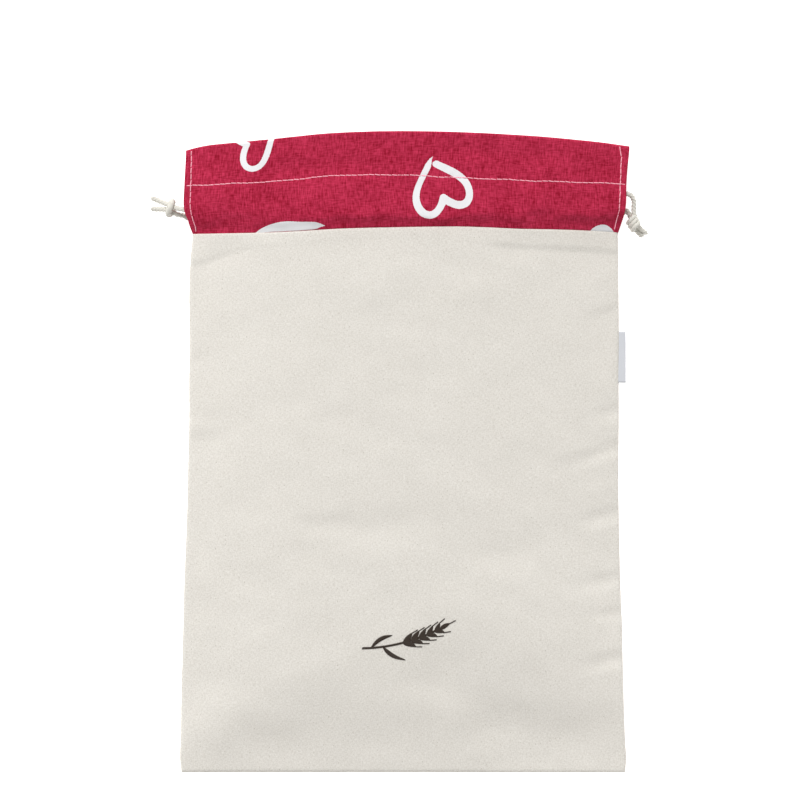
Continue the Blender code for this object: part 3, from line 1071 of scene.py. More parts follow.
@dataclass
class BagBody:
    """The cream cloth: front and back, sewn together right sides in and turned, so that their edges roll in.

    Args:
        inset: how far inside their lower and upper edge the cloths' lay is read.
        roll: over what distance an edge rolls out of the seam.
        seam_rise: how far the seam lies above the back's lay.
        seam_half: how far each cloth's edge lies from the seam's middle.
        heading_roll, heading_dip: over what distance a cloth sinks to the heading's seam, and how far.
        allowance: what the seam allowance does to the front above it: x, how far below the heading it ends,
            and how far it lifts the cloth, in millimetres.
        allowance_edge: over what distance its lower edge shows.
        tuck, tuck_reach: how far the front's upper edge lies under the heading, and over what distance.
        clear: the least height of the front above the seam.
        calm: over what distance from the sides and from the bottom the cloth's waves set in.
        step: from line to line of the front's grid; the back has half as many lines.
        edge: the lines next to an edge.
    """

    cloth: float = 0.8 * MM
    inset: tuple[float, float] = (0.6 * MM, 0.6 * MM)
    roll: float = 2.4 * MM
    seam_rise: float = 1.35 * MM
    seam_half: float = 0.02 * MM
    heading_roll: float = 1.5 * MM
    heading_dip: float = 0.9 * MM
    allowance: tuple[tuple[float, float, float], ...] = (
        (-150.0, 22.0, 0.9), (-136.0, 21.0, 0.9), (-121.0, 15.6, 0.75), (-104.0, 11.6, 0.5),
        (-78.0, 11.0, 0.5), (-52.0, 10.0, 0.2), (-16.0, 8.2, 0.25), (31.0, 8.8, 0.15),
        (50.0, 12.2, 0.4), (72.0, 13.6, 1.3), (100.0, 14.2, 1.2), (149.0, 15.6, 1.0),
    )
    allowance_edge: float = 4.4 * MM
    tuck: float = 0.3 * MM
    tuck_reach: float = 2 * MM
    clear: float = 0.45 * MM
    calm: tuple[float, float] = (10 * MM, 14 * MM)
    step: float = 1.75 * MM
    edge: tuple[float, ...] = tuple(d * MM for d in (0.0, 0.08, 0.3, 0.7, 1.2, 1.8, 2.5, 3.6))
    drape: Ripples = Ripples(seed=11, shortest=22 * MM, longest=70 * MM, height=0.16 * MM)
    crumple: Ripples = Ripples(seed=12, shortest=7 * MM, longest=15 * MM, height=0.012 * MM)
    creases: tuple[Crease, ...] = folds(
        (92.0, -14.0, 148.0, 6.0, 8.0, -1.1, 0.7), (100.0, 8.0, 149.0, 20.0, 9.0, 0.4, 0.6),
        (108.0, -49.0, 149.0, -39.0, 8.5, -1.1, 0.7), (104.0, -30.0, 148.0, -22.0, 9.0, 0.3, 0.7),
        (100.0, -92.0, 150.0, -83.0, 8.0, -0.9, 0.7), (116.0, -110.0, 150.0, -107.0, 6.5, -0.7, 0.6),
        (108.0, -146.0, 150.0, -137.0, 8.5, -1.2, 0.7), (118.0, 24.0, 149.0, 30.0, 8.0, -0.7, 0.7),
        (118.0, 90.0, 149.0, 98.0, 7.0, -0.6, 0.7), (-112.0, 17.5, -149.0, 17.0, 8.5, 0.8, 0.7),
        (-130.0, 64.0, -150.0, 61.0, 6.0, -0.5, 0.6), (-40.0, -47.0, -62.0, -49.0, 11.0, -0.7),
        (-34.0, -46.0, 20.0, -52.0, 16.0, -0.35), (-112.0, -66.0, -96.0, -112.0, 14.0, -0.5),
        (-128.0, -204.0, 26.0, -204.0, 50.0, 2.5), (-6.0, -206.0, 30.0, -204.0, 34.0, 1.2),
        (92.0, -160.0, 146.0, -161.0, 54.0, 3.2), (80.0, -120.0, 146.0, -120.0, 60.0, 2.0),
    )
    front_lay: Lay = field(init=False)
    back_lay: Lay = field(init=False)

    def __post_init__(self) -> None:
        """Reads where the two cloths lie."""
        self.front_lay = lay_on(Solid("front_panel"), True, columns=61, rows=75, inset=self.inset, passes=2)
        self.back_lay = lay_on(Solid("back_panel"), False, columns=41, rows=51, inset=self.inset, passes=1)

    def seam(self, across: np.ndarray, along: np.ndarray) -> np.ndarray:
        """Height at which the front's and the back's edges meet."""
        return self.back_lay.at(across, along)[..., 2] + self.seam_rise

    def _rolled(self, across: np.ndarray, along: np.ndarray) -> np.ndarray:
        """0 at the sides and the bottom of a cloth, rising to 1 as its edge rolls out of the seam."""
        side = np.minimum(across, 1 - across) * self.front_lay.width
        return rounded(side / self.roll) * rounded(along * self.front_lay.length / self.roll)

    def front(self, across: np.ndarray, along: np.ndarray) -> np.ndarray:
        """Points of the front's outer face.

        Args:
            across: shares of its width, from the left edge.
            along: shares of its length, from the bottom.

        Returns:
            The points.
        """
        across, along = paired(across, along)
        place = self.front_lay.at(across, along)
        x, y = place[..., 0], place[..., 1]
        side = np.minimum(across, 1 - across) * self.front_lay.width
        inside = soft(side / self.calm[0]) * soft(along * self.front_lay.length / self.calm[1])
        lift = self.drape.at(x, y) * inside + self.crumple.at(x, y)
        for crease in self.creases:
            lift = lift + crease.at(x, y)
        left = (1 - along) * self.front_lay.length
        at, below, rise = np.array(self.allowance).T * MM
        past = np.interp(x, at, below) - left
        lift = lift + np.interp(x, at, rise) * soft(past / self.allowance_edge)
        lift = lift - self.heading_dip * (1 - rounded(left / self.heading_roll))
        seam = self.seam(across, along) + self.seam_half
        top = np.maximum(place[..., 2] + lift, seam + self.clear)
        place[..., 2] = seam + (top - seam) * self._rolled(across, along)
        place[..., 1] += self.tuck * soft(1 - left / self.tuck_reach)
        return place

    def back(self, across: np.ndarray, along: np.ndarray) -> np.ndarray:
        """Points of the back's outer face, which lies on the surface.

        Args:
            across: shares of its width, from the left edge.
            along: shares of its length, from the bottom.

        Returns:
            The points.
        """
        across, along = paired(across, along)
        place = self.back_lay.at(across, along)
        seam = self.seam(across, along) - self.seam_half
        left = (1 - along) * self.back_lay.length
        dip = self.heading_dip * (1 - rounded(left / self.heading_roll))
        place[..., 2] = seam - (seam - place[..., 2] - dip) * self._rolled(across, along)
        return place

    def _cloth(self, side: Side, step: float, look: bpy.types.Material) -> bpy.types.Object:
        """Builds one of the two cloths.

        Args:
            side: which of the two.
            step: from line to line of its grid.
            look: its finish.

        Returns:
            The piece.
        """
        face = self.front if side is Side.FRONT else self.back
        lengths = (self.front_lay.width, self.front_lay.length)
        across, along = (shares(length, step, self.edge) for length in lengths)
        points = face(across[None, :], along[:, None])[:, :: side.value]
        name = side.name.lower()
        piece = sheet_object(f"{name}_cloth", points)
        thicken(piece, self.cloth)
        return dress(piece, look, "cream_linen", f"{name}_panel")

    def build(self, look: bpy.types.Material) -> None:
        """Builds both cloths.

        Args:
            look: their finish.
        """
        front = self._cloth(Side.FRONT, self.step, look)
        back = self._cloth(Side.BACK, 2 * self.step, look)


@dataclass(frozen=True)
class Heart:
    """A printed heart, drawn with one stroke of a round brush.

    Args:
        x: its middle across the cloth, in millimetres.
        below: its middle below the mouth along the cloth, in millimetres; inside the bag it is negative.
        turn: how far it is turned counterclockwise from upright, in degrees.
        size: half its width in millimetres.
        tall: its height, as a share of an even heart's.
        lean: how much longer its right half is than its left.
        brush: half the stroke's width in millimetres.
        start: how far beyond the point the stroke starts, as an angle of its drawing.
        tail: how far its end runs out past the point, in millimetres.
        stop: how far before the point the heart's own line stops, as such an angle.
        shoulders: the power of the sine that draws its width; 3 would give the plain heart curve.
        tail_bend: how far the tail bends, as a share of its length.
        lifts: how the brush lifts: by what share of its width, from where on the stroke, and over how much.
        unsteady: how much the stroke's width comes and goes, unsteady_rate how often.
    """

    x: float
    below: float
    turn: float
    size: float = 17.9
    tall: float = 1.05
    lean: float = 0.0
    brush: float = 2.5
    start: float = 0.46
    tail: float = 4.0
    stop: float = 0.12
    shoulders: float = 2.15
    tail_bend: float = 0.18
    lifts: tuple[tuple[float, float, float], ...] = ((0.2, 0.62, 0.28), (0.72, 0.92, 0.08))
    unsteady: float = 0.05
    unsteady_rate: float = 23.0
    points: int = 460
    tail_points: int = 30
    batch: int = 20

    def stroke(self) -> tuple[np.ndarray, np.ndarray]:
        """The way of the brush over the cloth.

        Returns:
            Points along the stroke's middle, and half its width at each.
        """
        t = np.linspace(math.pi + self.start, 3 * math.pi - self.stop, self.points)
        across = HALF_HEART * np.sign(np.sin(t)) * np.abs(np.sin(t)) ** self.shoulders
        up = 13 * np.cos(t) - 5 * np.cos(2 * t) - 2 * np.cos(3 * t) - np.cos(4 * t)
        outline = np.stack((across, up), axis=-1) * self.size / HALF_HEART
        outline[:, 1] = outline[:, 1] * self.tall + self.lean * outline[:, 0]
        way = unit(outline[-1] - outline[-25])
        out = np.linspace(0.05, 1.0, self.tail_points)[:, None]
        bent = way * out + np.array([way[1], -way[0]]) * self.tail_bend * out**2
        outline = np.concatenate((outline, outline[-1] + self.tail * bent))
        far = travelled(outline)
        share = far / far[-1]
        width = np.ones(share.shape)
        for less, begin, length in self.lifts:
            width -= less * soft((share - begin) / length)
        width *= self.brush
        width *= 1 + self.unsteady * np.sin(share * self.unsteady_rate + self.x)
        turn = math.radians(self.turn)
        ahead, aside = math.cos(turn), math.sin(turn)
        turned = outline @ np.array([[ahead, aside], [-aside, ahead]])
        return turned + np.array([self.x, -self.below]), width

    def distance(self, x: np.ndarray, below: np.ndarray) -> np.ndarray:
        """How far places of the cloth lie outside the stroke's edge.

        Args:
            x: the places' x, in millimetres.
            below: how far below the mouth they lie along the cloth.

        Returns:
            The distances in millimetres, up to NO_INK.
        """
        middle, width = self.stroke()
        nearest = np.full(x.shape, NO_INK)
        room = 1.6 * self.size + 8
        near = np.hypot(x - self.x, below - self.below) < room
        place = np.stack((x[near], -below[near]), axis=-1)
        best = np.full(len(place), NO_INK)
        for first in range(0, len(middle), self.batch):
            off = place[:, None] - middle[None, first : first + self.batch]
            reach = np.hypot(off[..., 0], off[..., 1]) - width[None, first : first + self.batch]
            best = np.minimum(best, reach.min(axis=1))
        nearest[near] = best
        return nearest


@dataclass
class Heading:
    """A crimson band across the mouth: one strip, hemmed at both sides and doubled over at the mouth.

    Args:
        side: front or back.
        body: the cream cloth that it is sewn to.
        stitch_line: where the channel's stitching runs, x and y in millimetres.
        hems: how far inside the left and right side edge the hem's stitching runs, by share of the height,
            in millimetres.
        hearts: what is printed on it.
        shoulder: how the cloth bulges above the seam: x, how far it rises, and over what height, in
            millimetres.
        inset: how far inside the lower and the upper edge its lay is read.
        fold_reach: how far the fold at the mouth reaches beyond the two layers.
        seam_roll, seam_share: over what height it comes up out of the seam, and how much of its way up it
            is then.
        shoulder_end: how far above the seam the bulge ends.
        gather: how the seam gathers it, which spreads the bulge unevenly.
        tuck: how far its lower edge hangs over the cream cloth.
        edge: the lines next to a side edge.
        end: the lines next to the seam and the fold.
        edge_roll, edge_dip: over what distance a side edge sinks, and how far.
        hem_rise, hem_slope: how far a hem stands out, and over what distance.
        hem_groove, channel_groove, stitch_dip: half the width of the grooves that the hems' and the channel's
            stitches pull, and their depth.
        drape_start: over what share of the height the front's soft waves set in.
        pucker, pucker_reach: the fine waves next to the channel's stitches, and how far they reach.
        pitch: from stitch to stitch.
        shown: how long a stitch is, as a share of the pitch; its ends lie in the cloth.
        wander: how the channel's stitching wanders: how far, and over what length.
        hem_wander: how far the hems' stitching wanders, and how often.
        hem_start: where it starts, as a share of the height.
        channel_slant, hem_slant: how far the stitches lie aslant.
        seeds: set the channel's and the hems' rows apart.
    """

    side: Side
    body: BagBody
    stitch_line: tuple[tuple[float, float], ...]
    hems: tuple[tuple[float, float, float], ...]
    hearts: tuple[Heart, ...]
    shoulder: tuple[tuple[float, float, float], ...] = ((0.0, 0.0, 8.0),)
    creases: tuple[Crease, ...] = ()
    cloth: float = 0.7 * MM
    inset: tuple[float, float] = (0.5 * MM, 2.3 * MM)
    fold_reach: float = 1.8 * MM
    fold_rows: int = 9
    seam_roll: float = 1.8 * MM
    seam_share: float = 0.25
    shoulder_end: float = 56.0 * MM
    gather: Ripples = Ripples(seed=23, shortest=24 * MM, longest=70 * MM, height=0.1)
    gathered: float = 2.0
    tuck: float = 0.25 * MM
    tuck_reach: float = 2 * MM
    least: float = 0.02 * MM
    step: float = 1.15 * MM
    inner_step: float = 2.2 * MM
    side_step: float = 1.25 * MM
    edge: tuple[float, ...] = tuple(d * MM for d in (0.0, 0.12, 0.4, 0.8, 1.4, 2.2, 3.1, 4.0, 4.8, 5.6, 6.6))
    end: tuple[float, ...] = tuple(d * MM for d in (0.0, 0.1, 0.35, 0.8, 1.5, 2.4))
    edge_roll: float = 0.9 * MM
    edge_dip: float = 0.5 * MM
    hem_rise: float = 0.4 * MM
    hem_slope: float = 1.0 * MM
    hem_groove: float = 0.8 * MM
    channel_groove: float = 1.1 * MM
    stitch_dip: float = 0.3 * MM
    drape: Ripples = Ripples(seed=21, shortest=16 * MM, longest=46 * MM, height=0.17 * MM, across=0.7)
    drape_start: float = 0.15
    pucker: Ripples = Ripples(seed=22, shortest=6 * MM, longest=11 * MM, height=0.09 * MM, across=0.45)
    pucker_reach: float = 6 * MM
    pitch: float = 3.9 * MM
    shown: float = 1.24
    wander: tuple[tuple[float, float], ...] = ((0.22 * MM, 31 * MM), (0.12 * MM, 13 * MM))
    hem_wander: tuple[float, float] = (0.15 * MM, 31.0)
    hem_start: float = 0.02
    channel_slant: float = 0.16 * MM
    hem_slant: float = 0.1 * MM
    seeds: tuple[int, int] = (31, 41)
    line_points: tuple[int, int] = (700, 160)
    outer_lay: Lay = field(init=False)
    inner_lay: Lay = field(init=False)

    def __post_init__(self) -> None:
        """Reads where the strip's two layers lie."""
        solid, above = Solid(self.node), self.side is Side.FRONT
        self.outer_lay, self.inner_lay = (
            lay_on(solid, face, columns=61, rows=19, inset=self.inset, passes=2)
            for face in (above, not above)
        )

    @property
    def node(self) -> str:
        """The CAD node that it stands for."""
        return f"{self.side.name.lower()}_band"

    @property
    def name(self) -> str:
        """The name of its piece."""
        return f"{self.side.name.lower()}_heading"

    def _face(self, outer: bool) -> tuple[Lay, int]:
        """The lay of the outer or the inner layer, and 1 where it faces up or -1 where it faces down."""
        return (self.outer_lay, self.side.value) if outer else (self.inner_lay, -self.side.value)

    def _relief(self, across: np.ndarray, along: np.ndarray, place: np.ndarray) -> np.ndarray:
        """How far a layer stands out of its plain lay, away from the strip's other layer.

        Args:
            across: shares of its width, from the left edge.
            along: shares of its height, from the seam.
            place: the points of its plain lay there.

        Returns:
            The rise at each point.
        """
        heights, *insides = np.array(self.hems).T
        x, left, right = (
            self.outer_lay.at(at, along)[..., 0] for at in (across, np.zeros_like(along), np.ones_like(along))
        )
        lift = np.zeros(across.shape)
        for off, inside in zip((x - left, right - x), insides):
            line = np.interp(along, heights, inside) * MM
            rolled = rounded(off / self.edge_roll)
            lift += self.hem_rise * soft((line + self.hem_slope / 2 - off) / self.hem_slope) * rolled
            lift -= self.edge_dip * (1 - rolled)
            lift -= self.stitch_dip * trough(off - line, self.hem_groove)
        x_line, y_line = np.array(self.stitch_line).T * MM
        off = place[..., 1] - np.interp(place[..., 0], x_line, y_line)
        lift -= self.stitch_dip * trough(off, self.channel_groove)
        return lift + self.pucker.at(place[..., 0], place[..., 1]) * trough(off, self.pucker_reach)

    def _bulged(self, across: np.ndarray, off: np.ndarray, place: np.ndarray, up: int) -> np.ndarray:
        """Raises the outer layer's bulge above the seam and leads its lower edge into the seam.

        Args:
            across: shares of its width, from the left edge.
            off: how far each point lies above the seam, along the strip.
            place: the layer's points, whose height and y are changed.
            up: 1 where the layer faces up, -1 where it faces down.

        Returns:
            The points.
        """
        cream = self.body.front if self.side is Side.FRONT else self.body.back
        meet = cream(across, np.ones_like(across))[..., 2]
        x, bulge, reach = np.array(self.shoulder).T * MM
        bulge = np.interp(place[..., 0], x, bulge) * soft(1 - off / self.shoulder_end)
        gathers = self.gather.at(place[..., 0], np.zeros_like(off))
        reach = np.interp(place[..., 0], x, reach) * (1 + self.gathered * gathers)
        place[..., 2] += bulge * up
        rise = rounded(off / self.seam_roll) * self.seam_share + (1 - self.seam_share) * soft(off / reach)
        place[..., 2] = meet + (place[..., 2] - meet) * rise
        place[..., 1] -= self.tuck * soft(1 - off / self.tuck_reach)
        return place

    def layer(self, across: np.ndarray, along: np.ndarray, outer: bool) -> np.ndarray:
        """Points on the face of one layer.

        Args:
            across: shares of its width, from the left edge.
            along: shares of its height, from the seam, 0, to where the fold at the mouth begins, 1.
            outer: True for the outer layer.

        Returns:
            The points.
        """
        across, along = paired(across, along)
        lay, up = self._face(outer)
        reached = along * (1 - self.fold_reach / lay.length)
        place = lay.at(across, reached)
        lift = self._relief(across, reached, place) * up
        if self.side is Side.FRONT:
            lift = lift + self.drape.at(place[..., 0], place[..., 1]) * soft(along / self.drape_start)
        place[..., 2] += lift
        if outer:
            for crease in self.creases:
                place[..., 2] += crease.at(place[..., 0], place[..., 1]) * up
            place = self._bulged(across, along * lay.length, place, up)
        place[..., 2] = np.maximum(place[..., 2], self.least)
        return place

    def fold(self, across: np.ndarray, turn: np.ndarray) -> np.ndarray:
        """Points of the fold at the mouth.

        Args:
            across: shares of its width, from the left edge.
            turn: how far they lie round the fold, from the outer layer, 0, to the inner one, pi.

        Returns:
            The points, one for each pair of values.
        """
        across, turn = paired(across, turn)
        outer, inner = (self.layer(across, np.ones_like(across), face) for face in (True, False))
        place = outer.copy()
        place[..., 1] += self.fold_reach * np.sin(turn)
        high, low = outer[..., 2], inner[..., 2]
        place[..., 2] = (high + low) / 2 + (high - low) / 2 * np.cos(turn)
        return place

    def _line(self, places: np.ndarray, outer: bool) -> tuple[np.ndarray, np.ndarray]:
        """Lays a line of closely spaced floor places on one layer.

        Args:
            places: the places' x and y.
            outer: True for the outer layer.

        Returns:
            The layer's points over them, and the way out of it at each.
        """
        lay, up = self._face(outer)
        across, along = lay.locate(places[:, 0], places[:, 1])
        along = along / (1 - self.fold_reach / lay.length)
        out = facing(lambda a, b: self.layer(a, b, outer), across, along, up)
        return self.layer(across, along, outer), out

    def build(self, look: bpy.types.Material) -> None:
        """Builds the strip.

        Args:
            look: its finish.
        """
        lay = self.outer_lay
        across = shares(lay.width, self.side_step, self.edge)[None, :]
        up = shares(lay.length, self.step, self.end)[:, None]
        down = shares(lay.length, self.inner_step, self.end[::2])[::-1, None]
        turn = np.linspace(0, math.pi, self.fold_rows + 2)[1:-1, None]
        rows = (self.layer(across, up, True), self.fold(across, turn), self.layer(across, down, False))
        points = np.concatenate(rows)[:, :: self.side.value]
        middle = len(up) + len(turn) // 2
        run = measured(points)[..., 1]
        below = (run[middle] - run) / MM
        edge = np.full(below.shape, NO_INK)
        for heart in self.hearts:
            edge = np.minimum(edge, heart.distance(points[..., 0] / MM, below))
        strip = sheet_object(self.name, points, {"print_edge": edge})
        thicken(strip, self.cloth)
        dress(strip, look, "crimson_linen", self.node)

    def sew(self, look: bpy.types.Material) -> None:
        """Sews the channel's stitching and the side hems, on both faces of the strip.

        Args:
            look: the thread's finish.
        """
        thread = Stitches(width=0.68 * MM, rise=0.62 * MM)
        runs = []
        x_line, y_line = np.array(self.stitch_line).T * MM
        x = np.linspace(x_line[0], x_line[-1], self.line_points[0])
        wobble = sum(far * np.sin(x * FULL_TURN / length) for far, length in self.wander)
        row = np.stack((x, np.interp(x, x_line, y_line) + wobble), axis=-1)
        heights, *insides = np.array(self.hems).T
        along = np.linspace(self.hem_start, 1.0, self.line_points[1])
        for outer in (True, False):
            path, out = self._line(row, outer)
            runs += sewn(path, out, self.pitch, self.shown, self.channel_slant, self.seeds[0] + outer)
            for right, inside in enumerate(insides):
                edge = self.outer_lay.at(np.full(along.shape, right), along)
                inward = 1 - 2 * right
                edge[:, 0] += inward * np.interp(along, heights, inside) * MM
                edge[:, 0] += self.hem_wander[0] * np.sin(along * self.hem_wander[1])
                path, out = self._line(edge[:, :2], outer)
                runs += sewn(path, out, self.pitch, self.shown, self.hem_slant, self.seeds[1] + outer)
        rows = thread.lay(f"{self.name}_stitching", runs)
        dress(rows, look, "sewing_thread")


@dataclass(frozen=True)
class Wrap:
    """The turn of cord that binds a knot. Millimetres.

    Args:
        x, y, z: its middle.
        heading: the way that the strands run through it, in degrees from +X.
        wide: half its width at the middle of the cord.
        high: half its height at the middle of the cord.
        slant: how far its near side leads its far side along the strands.
        turns: how many times it goes round; an odd number leaves both ends underneath.
        lead: how far it travels along the strands.
        thick: how thick it is, as a share of the cord.
        tucked: how far its ends are drawn in between the strands, as a share of its size.
        tuck_share: over what share of its way they are.
    """

    x: float
    y: float
    z: float
    heading: float
    wide: float
    high: float
    slant: float
    turns: float = 3.0
    lead: float = 7.6
    thick: float = 0.97
    tucked: float = 0.55
    tuck_share: float = 0.1
    points: int = 180

    def path(self) -> np.ndarray:
        """The way of the turn, which starts and ends tucked between the strands, under the knot.

        Returns:
            Points along it, in metres.
        """
        share = np.linspace(0, 1, self.points)
        angle = FULL_TURN * self.turns * (share - 0.5) + math.pi / 2
        size = 1 - self.tucked * soft(1 - np.minimum(share, 1 - share) / self.tuck_share)
        heading = math.radians(self.heading)
        along = np.array([math.cos(heading), math.sin(heading), 0.0])
        side = np.array([-along[1], along[0], 0.0])
        offset = np.outer(self.wide * np.cos(angle) * size, side)
        offset += np.outer(self.high * np.sin(angle) * size, (0, 0, 1))
        offset += np.outer(self.slant * np.cos(angle) + self.lead * (share - 0.5), along)
        return (np.array([self.x, self.y, self.z]) + offset) * MM


@dataclass
class Cord:
    """Cotton cord of three twisted strands.

    Args:
        diameter: over the strands.
        strand_off: how far a strand's middle lies from the cord's, as a share of the cord's half diameter.
        strand_round: half a strand's own diameter, as the same share.
        groove: the least share of the half diameter between the strands.
        twist: the length of one full twist.
        uneven: how much thicker and thinner the cord gets.
        tip: over what length its ends close.
        fineness: how many points the smooth curve has between two of a route's.
        merge: how close the points are that become one.
    """

    diameter: float = 3.6 * MM
    strands: int = 3
    strand_off: float = 0.536
    strand_round: float = 0.464
    groove: float = 0.8
    twist: float = 7.6 * MM
    uneven: float = 0.03
    uneven_length: float = 17 * MM
    tip: float = 0.9 * MM
    sides: int = 27
    step: float = 0.5 * MM
    fineness: int = 60
    merge: float = 0.001 * MM

    def even(self, route: np.ndarray) -> np.ndarray:
        """Points at even steps on a smooth curve through a route's points.

        Args:
            route: the points that the cord passes.

        Returns:
            The points, a step apart.
        """
        ends = np.concatenate(([2 * route[0] - route[1]], route, [2 * route[-1] - route[-2]]))
        f = np.linspace(0, 1, self.fineness, endpoint=False)[:, None]
        fine = [
            0.5 * (2 * b + (c - a) * f + (2 * a - 5 * b + 4 * c - d) * f**2 + (3 * b - a - 3 * c + d) * f**3)
            for a, b, c, d in zip(ends, ends[1:], ends[2:], ends[3:])
        ]
        fine = np.concatenate((*fine, route[-1:]))
        far = travelled(fine)
        return read_along(np.linspace(0, far[-1], max(int(far[-1] / self.step), 8)), far, fine)

    def _frame(self, path: np.ndarray) -> tuple[np.ndarray, np.ndarray]:
        """Two ways out of a path at each point, which follow it round its bends untwisted.

        Args:
            path: evenly spaced points.

        Returns:
            The way to the side and the way up, square to the path and to each other.
        """
        ahead = unit(np.gradient(path, axis=0))
        side = np.cross(ahead[0], (0, 0, 1.0))
        sides = []
        for way in ahead:
            side = unit(side - way * (side @ way))
            sides.append(side)
        sides = np.array(sides)
        return sides, np.cross(ahead, sides)

    def build(self, name: str, path: np.ndarray, thick: float = 1.0) -> bpy.types.Object:
        """Builds a length of the cord, closed at both ends.

        Args:
            name: the object's name.
            path: the evenly spaced points that it follows.
            thick: its thickness, as a share of the cord's.

        Returns:
            The object.
        """
        sides, ups = self._frame(path)
        far = travelled(path)
        angle = np.linspace(0, FULL_TURN, self.sides + 1)
        strand = (angle[None, :] + FULL_TURN * far[:, None] / self.twist) * self.strands / FULL_TURN
        off = (strand - np.floor(strand) - 0.5) * FULL_TURN / self.strands
        room = np.maximum(self.strand_round**2 - (self.strand_off * np.sin(off)) ** 2, 0.0)
        lobe = self.strand_off * np.cos(off) + np.sqrt(room)
        radius = np.maximum(lobe, self.groove) * self.diameter / 2 * thick
        radius *= 1 + self.uneven * np.sin(far * FULL_TURN / self.uneven_length)[:, None]
        radius *= rounded(np.minimum(far, far[-1] - far) / self.tip)[:, None]
        ring = np.cos(angle)[None, :, None] * sides[:, None] + np.sin(angle)[None, :, None] * ups[:, None]
        obj = sheet_object(name, (path[:, None] + ring * radius[..., None])[::-1])
        work = bmesh.new()
        work.from_mesh(obj.data)
        bmesh.ops.remove_doubles(work, verts=work.verts, dist=self.merge)
        work.to_mesh(obj.data)
        work.free()
        return obj


@dataclass
class Drawstrings:
    """Two cords, one through each heading's channel, tied together beyond each side. Routes in millimetres.

    Args:
        front_left: the front cord from its left tip to the channel; the other three are alike.
        left_wrap: the turn that binds both at the left.
        in_channel: how far to each side the route follows the CAD cord through the channel.
        fibre_clear: least height of a loose fibre's tip, in metres.
        fibre_off: how far from the cord's middle it starts, least and most.
        fibre_spread: how far it leans out, for 1 of its length.
    """

    cord: Cord = field(default_factory=Cord)
    front_left: tuple = (
        (-171.2, 172.8, 1.9), (-167.4, 171.3, 2.2), (-163.4, 169.6, 4.2), (-159.8, 168.0, 6.9),
        (-155.0, 165.9, 9.7), (-152.2, 165.0, 11.5), (-149.6, 164.5, 12.7),
    )
    back_left: tuple = (
        (-171.6, 165.6, 1.9), (-167.6, 165.2, 2.1), (-163.6, 165.0, 3.2), (-159.6, 164.3, 4.6),
        (-154.9, 162.0, 5.3), (-152.0, 161.1, 5.2), (-149.0, 160.6, 4.7),
    )
    front_right: tuple = (
        (150.2, 175.0, 12.2), (153.0, 173.6, 11.3), (154.6, 170.3, 10.3), (154.6, 165.9, 9.2),
        (154.9, 161.3, 8.5), (155.9, 157.2, 7.6), (157.9, 153.6, 5.8), (160.7, 150.9, 3.4),
        (163.7, 148.6, 2.0),
    )
    back_right: tuple = (
        (149.6, 163.9, 4.6), (151.2, 162.5, 5.0), (152.4, 160.2, 5.3), (153.4, 157.0, 5.4),
        (154.9, 153.6, 4.3), (157.4, 150.0, 2.6), (160.9, 146.8, 1.9),
    )
    left_wrap: Wrap = Wrap(-158.0, 165.7, 6.9, 168.0, 4.2, 4.8, 1.1, turns=1.0, lead=3.4, thick=1.3)
    right_wrap: Wrap = Wrap(154.5, 155.8, 6.3, -60.0, 2.9, 4.2, -0.6, lead=8.0)
    in_channel: float = 145.0
    channel_points: int = 14
    fibres: int = 18
    fibre_width: float = 0.2 * MM
    fibre_clear: float = 0.15 * MM
    fibre_off: tuple[float, float] = (0.1, 1.25)
    fibre_spread: tuple[float, float] = (0.0, 0.8)
    fibre_length: tuple[float, float] = (0.5, 1.5)
    fray_seeds: tuple[int, int] = (51, 52)

    def route(self, node: str, left: tuple, right: tuple) -> np.ndarray:
        """A drawstring's route.

        Args:
            node: the CAD cord whose middle it follows through the channel.
            left: its points up to the channel, in millimetres.
            right: its points beyond the channel.

        Returns:
            All its points, in metres.
        """
        solid = Solid(node)
        stations = np.linspace(-self.in_channel, self.in_channel, self.channel_points) * MM
        channel = np.array([solid.middle(x) for x in stations])
        return np.concatenate((np.array(left) * MM, channel, np.array(right) * MM))

    def _frayed(self, path: np.ndarray, seed: int) -> list[Run]:
        """Loose fibres at a cord's cut tip.

        Args:
            path: the cord's points from the tip on.
            seed: sets the tip apart from others.

        Returns:
            Each fibre's ends, from the path's second point out over its first, and a way out of it.
        """
        draw = np.random.default_rng(seed)
        out = unit(path[0] - path[3])
        fibres = []
        for _ in range(self.fibres):
            aside = draw.normal(0, 1, 3)
            aside = unit(aside - out * (aside @ out))
            base = path[1] + aside * draw.uniform(*self.fibre_off) * MM
            way = out + aside * draw.uniform(*self.fibre_spread)
            tip = base + way * draw.uniform(*self.fibre_length) * MM
            tip[2] = max(tip[2], self.fibre_clear)
            fibres.append((base, tip, np.cross(out, aside)))
        return fibres

    def build(self, look: bpy.types.Material) -> None:
        """Builds both cords, the turns that bind the knots and the frayed tips.

        Args:
            look: their finish.
        """
        knots = []
        for side, wrap in (("left", self.left_wrap), ("right", self.right_wrap)):
            turn = self.cord.build(f"{side}_knot", self.cord.even(wrap.path()), wrap.thick)
            knots.append(dress(turn, look, "cotton_cord", f"knot_{side}"))
        fibres = []
        for side, left, right, tied in (
            ("front", self.front_left, self.front_right, knots),
            ("back", self.back_left, self.back_right, []),
        ):
            node = f"drawstring_{side}"
            path = self.cord.even(self.route(node, left, right))
            piece = dress(self.cord.build(f"{side}_drawstring", path), look, "cotton_cord", node)
            length = travelled(path)[-1]
            left[-1] * np.array(MM)
            for way, seed in zip((1, -1), self.fray_seeds):
                fibres += self._frayed(path[::way], seed)
            LOG.info("%s: %.0f mm long", piece.name, length / MM)
        thread = Stitches(width=self.fibre_width, rise=self.fibre_width, proud=0.0, sides=5)
        dress(thread.lay("cord_tips", fibres), look, "cotton_cord")


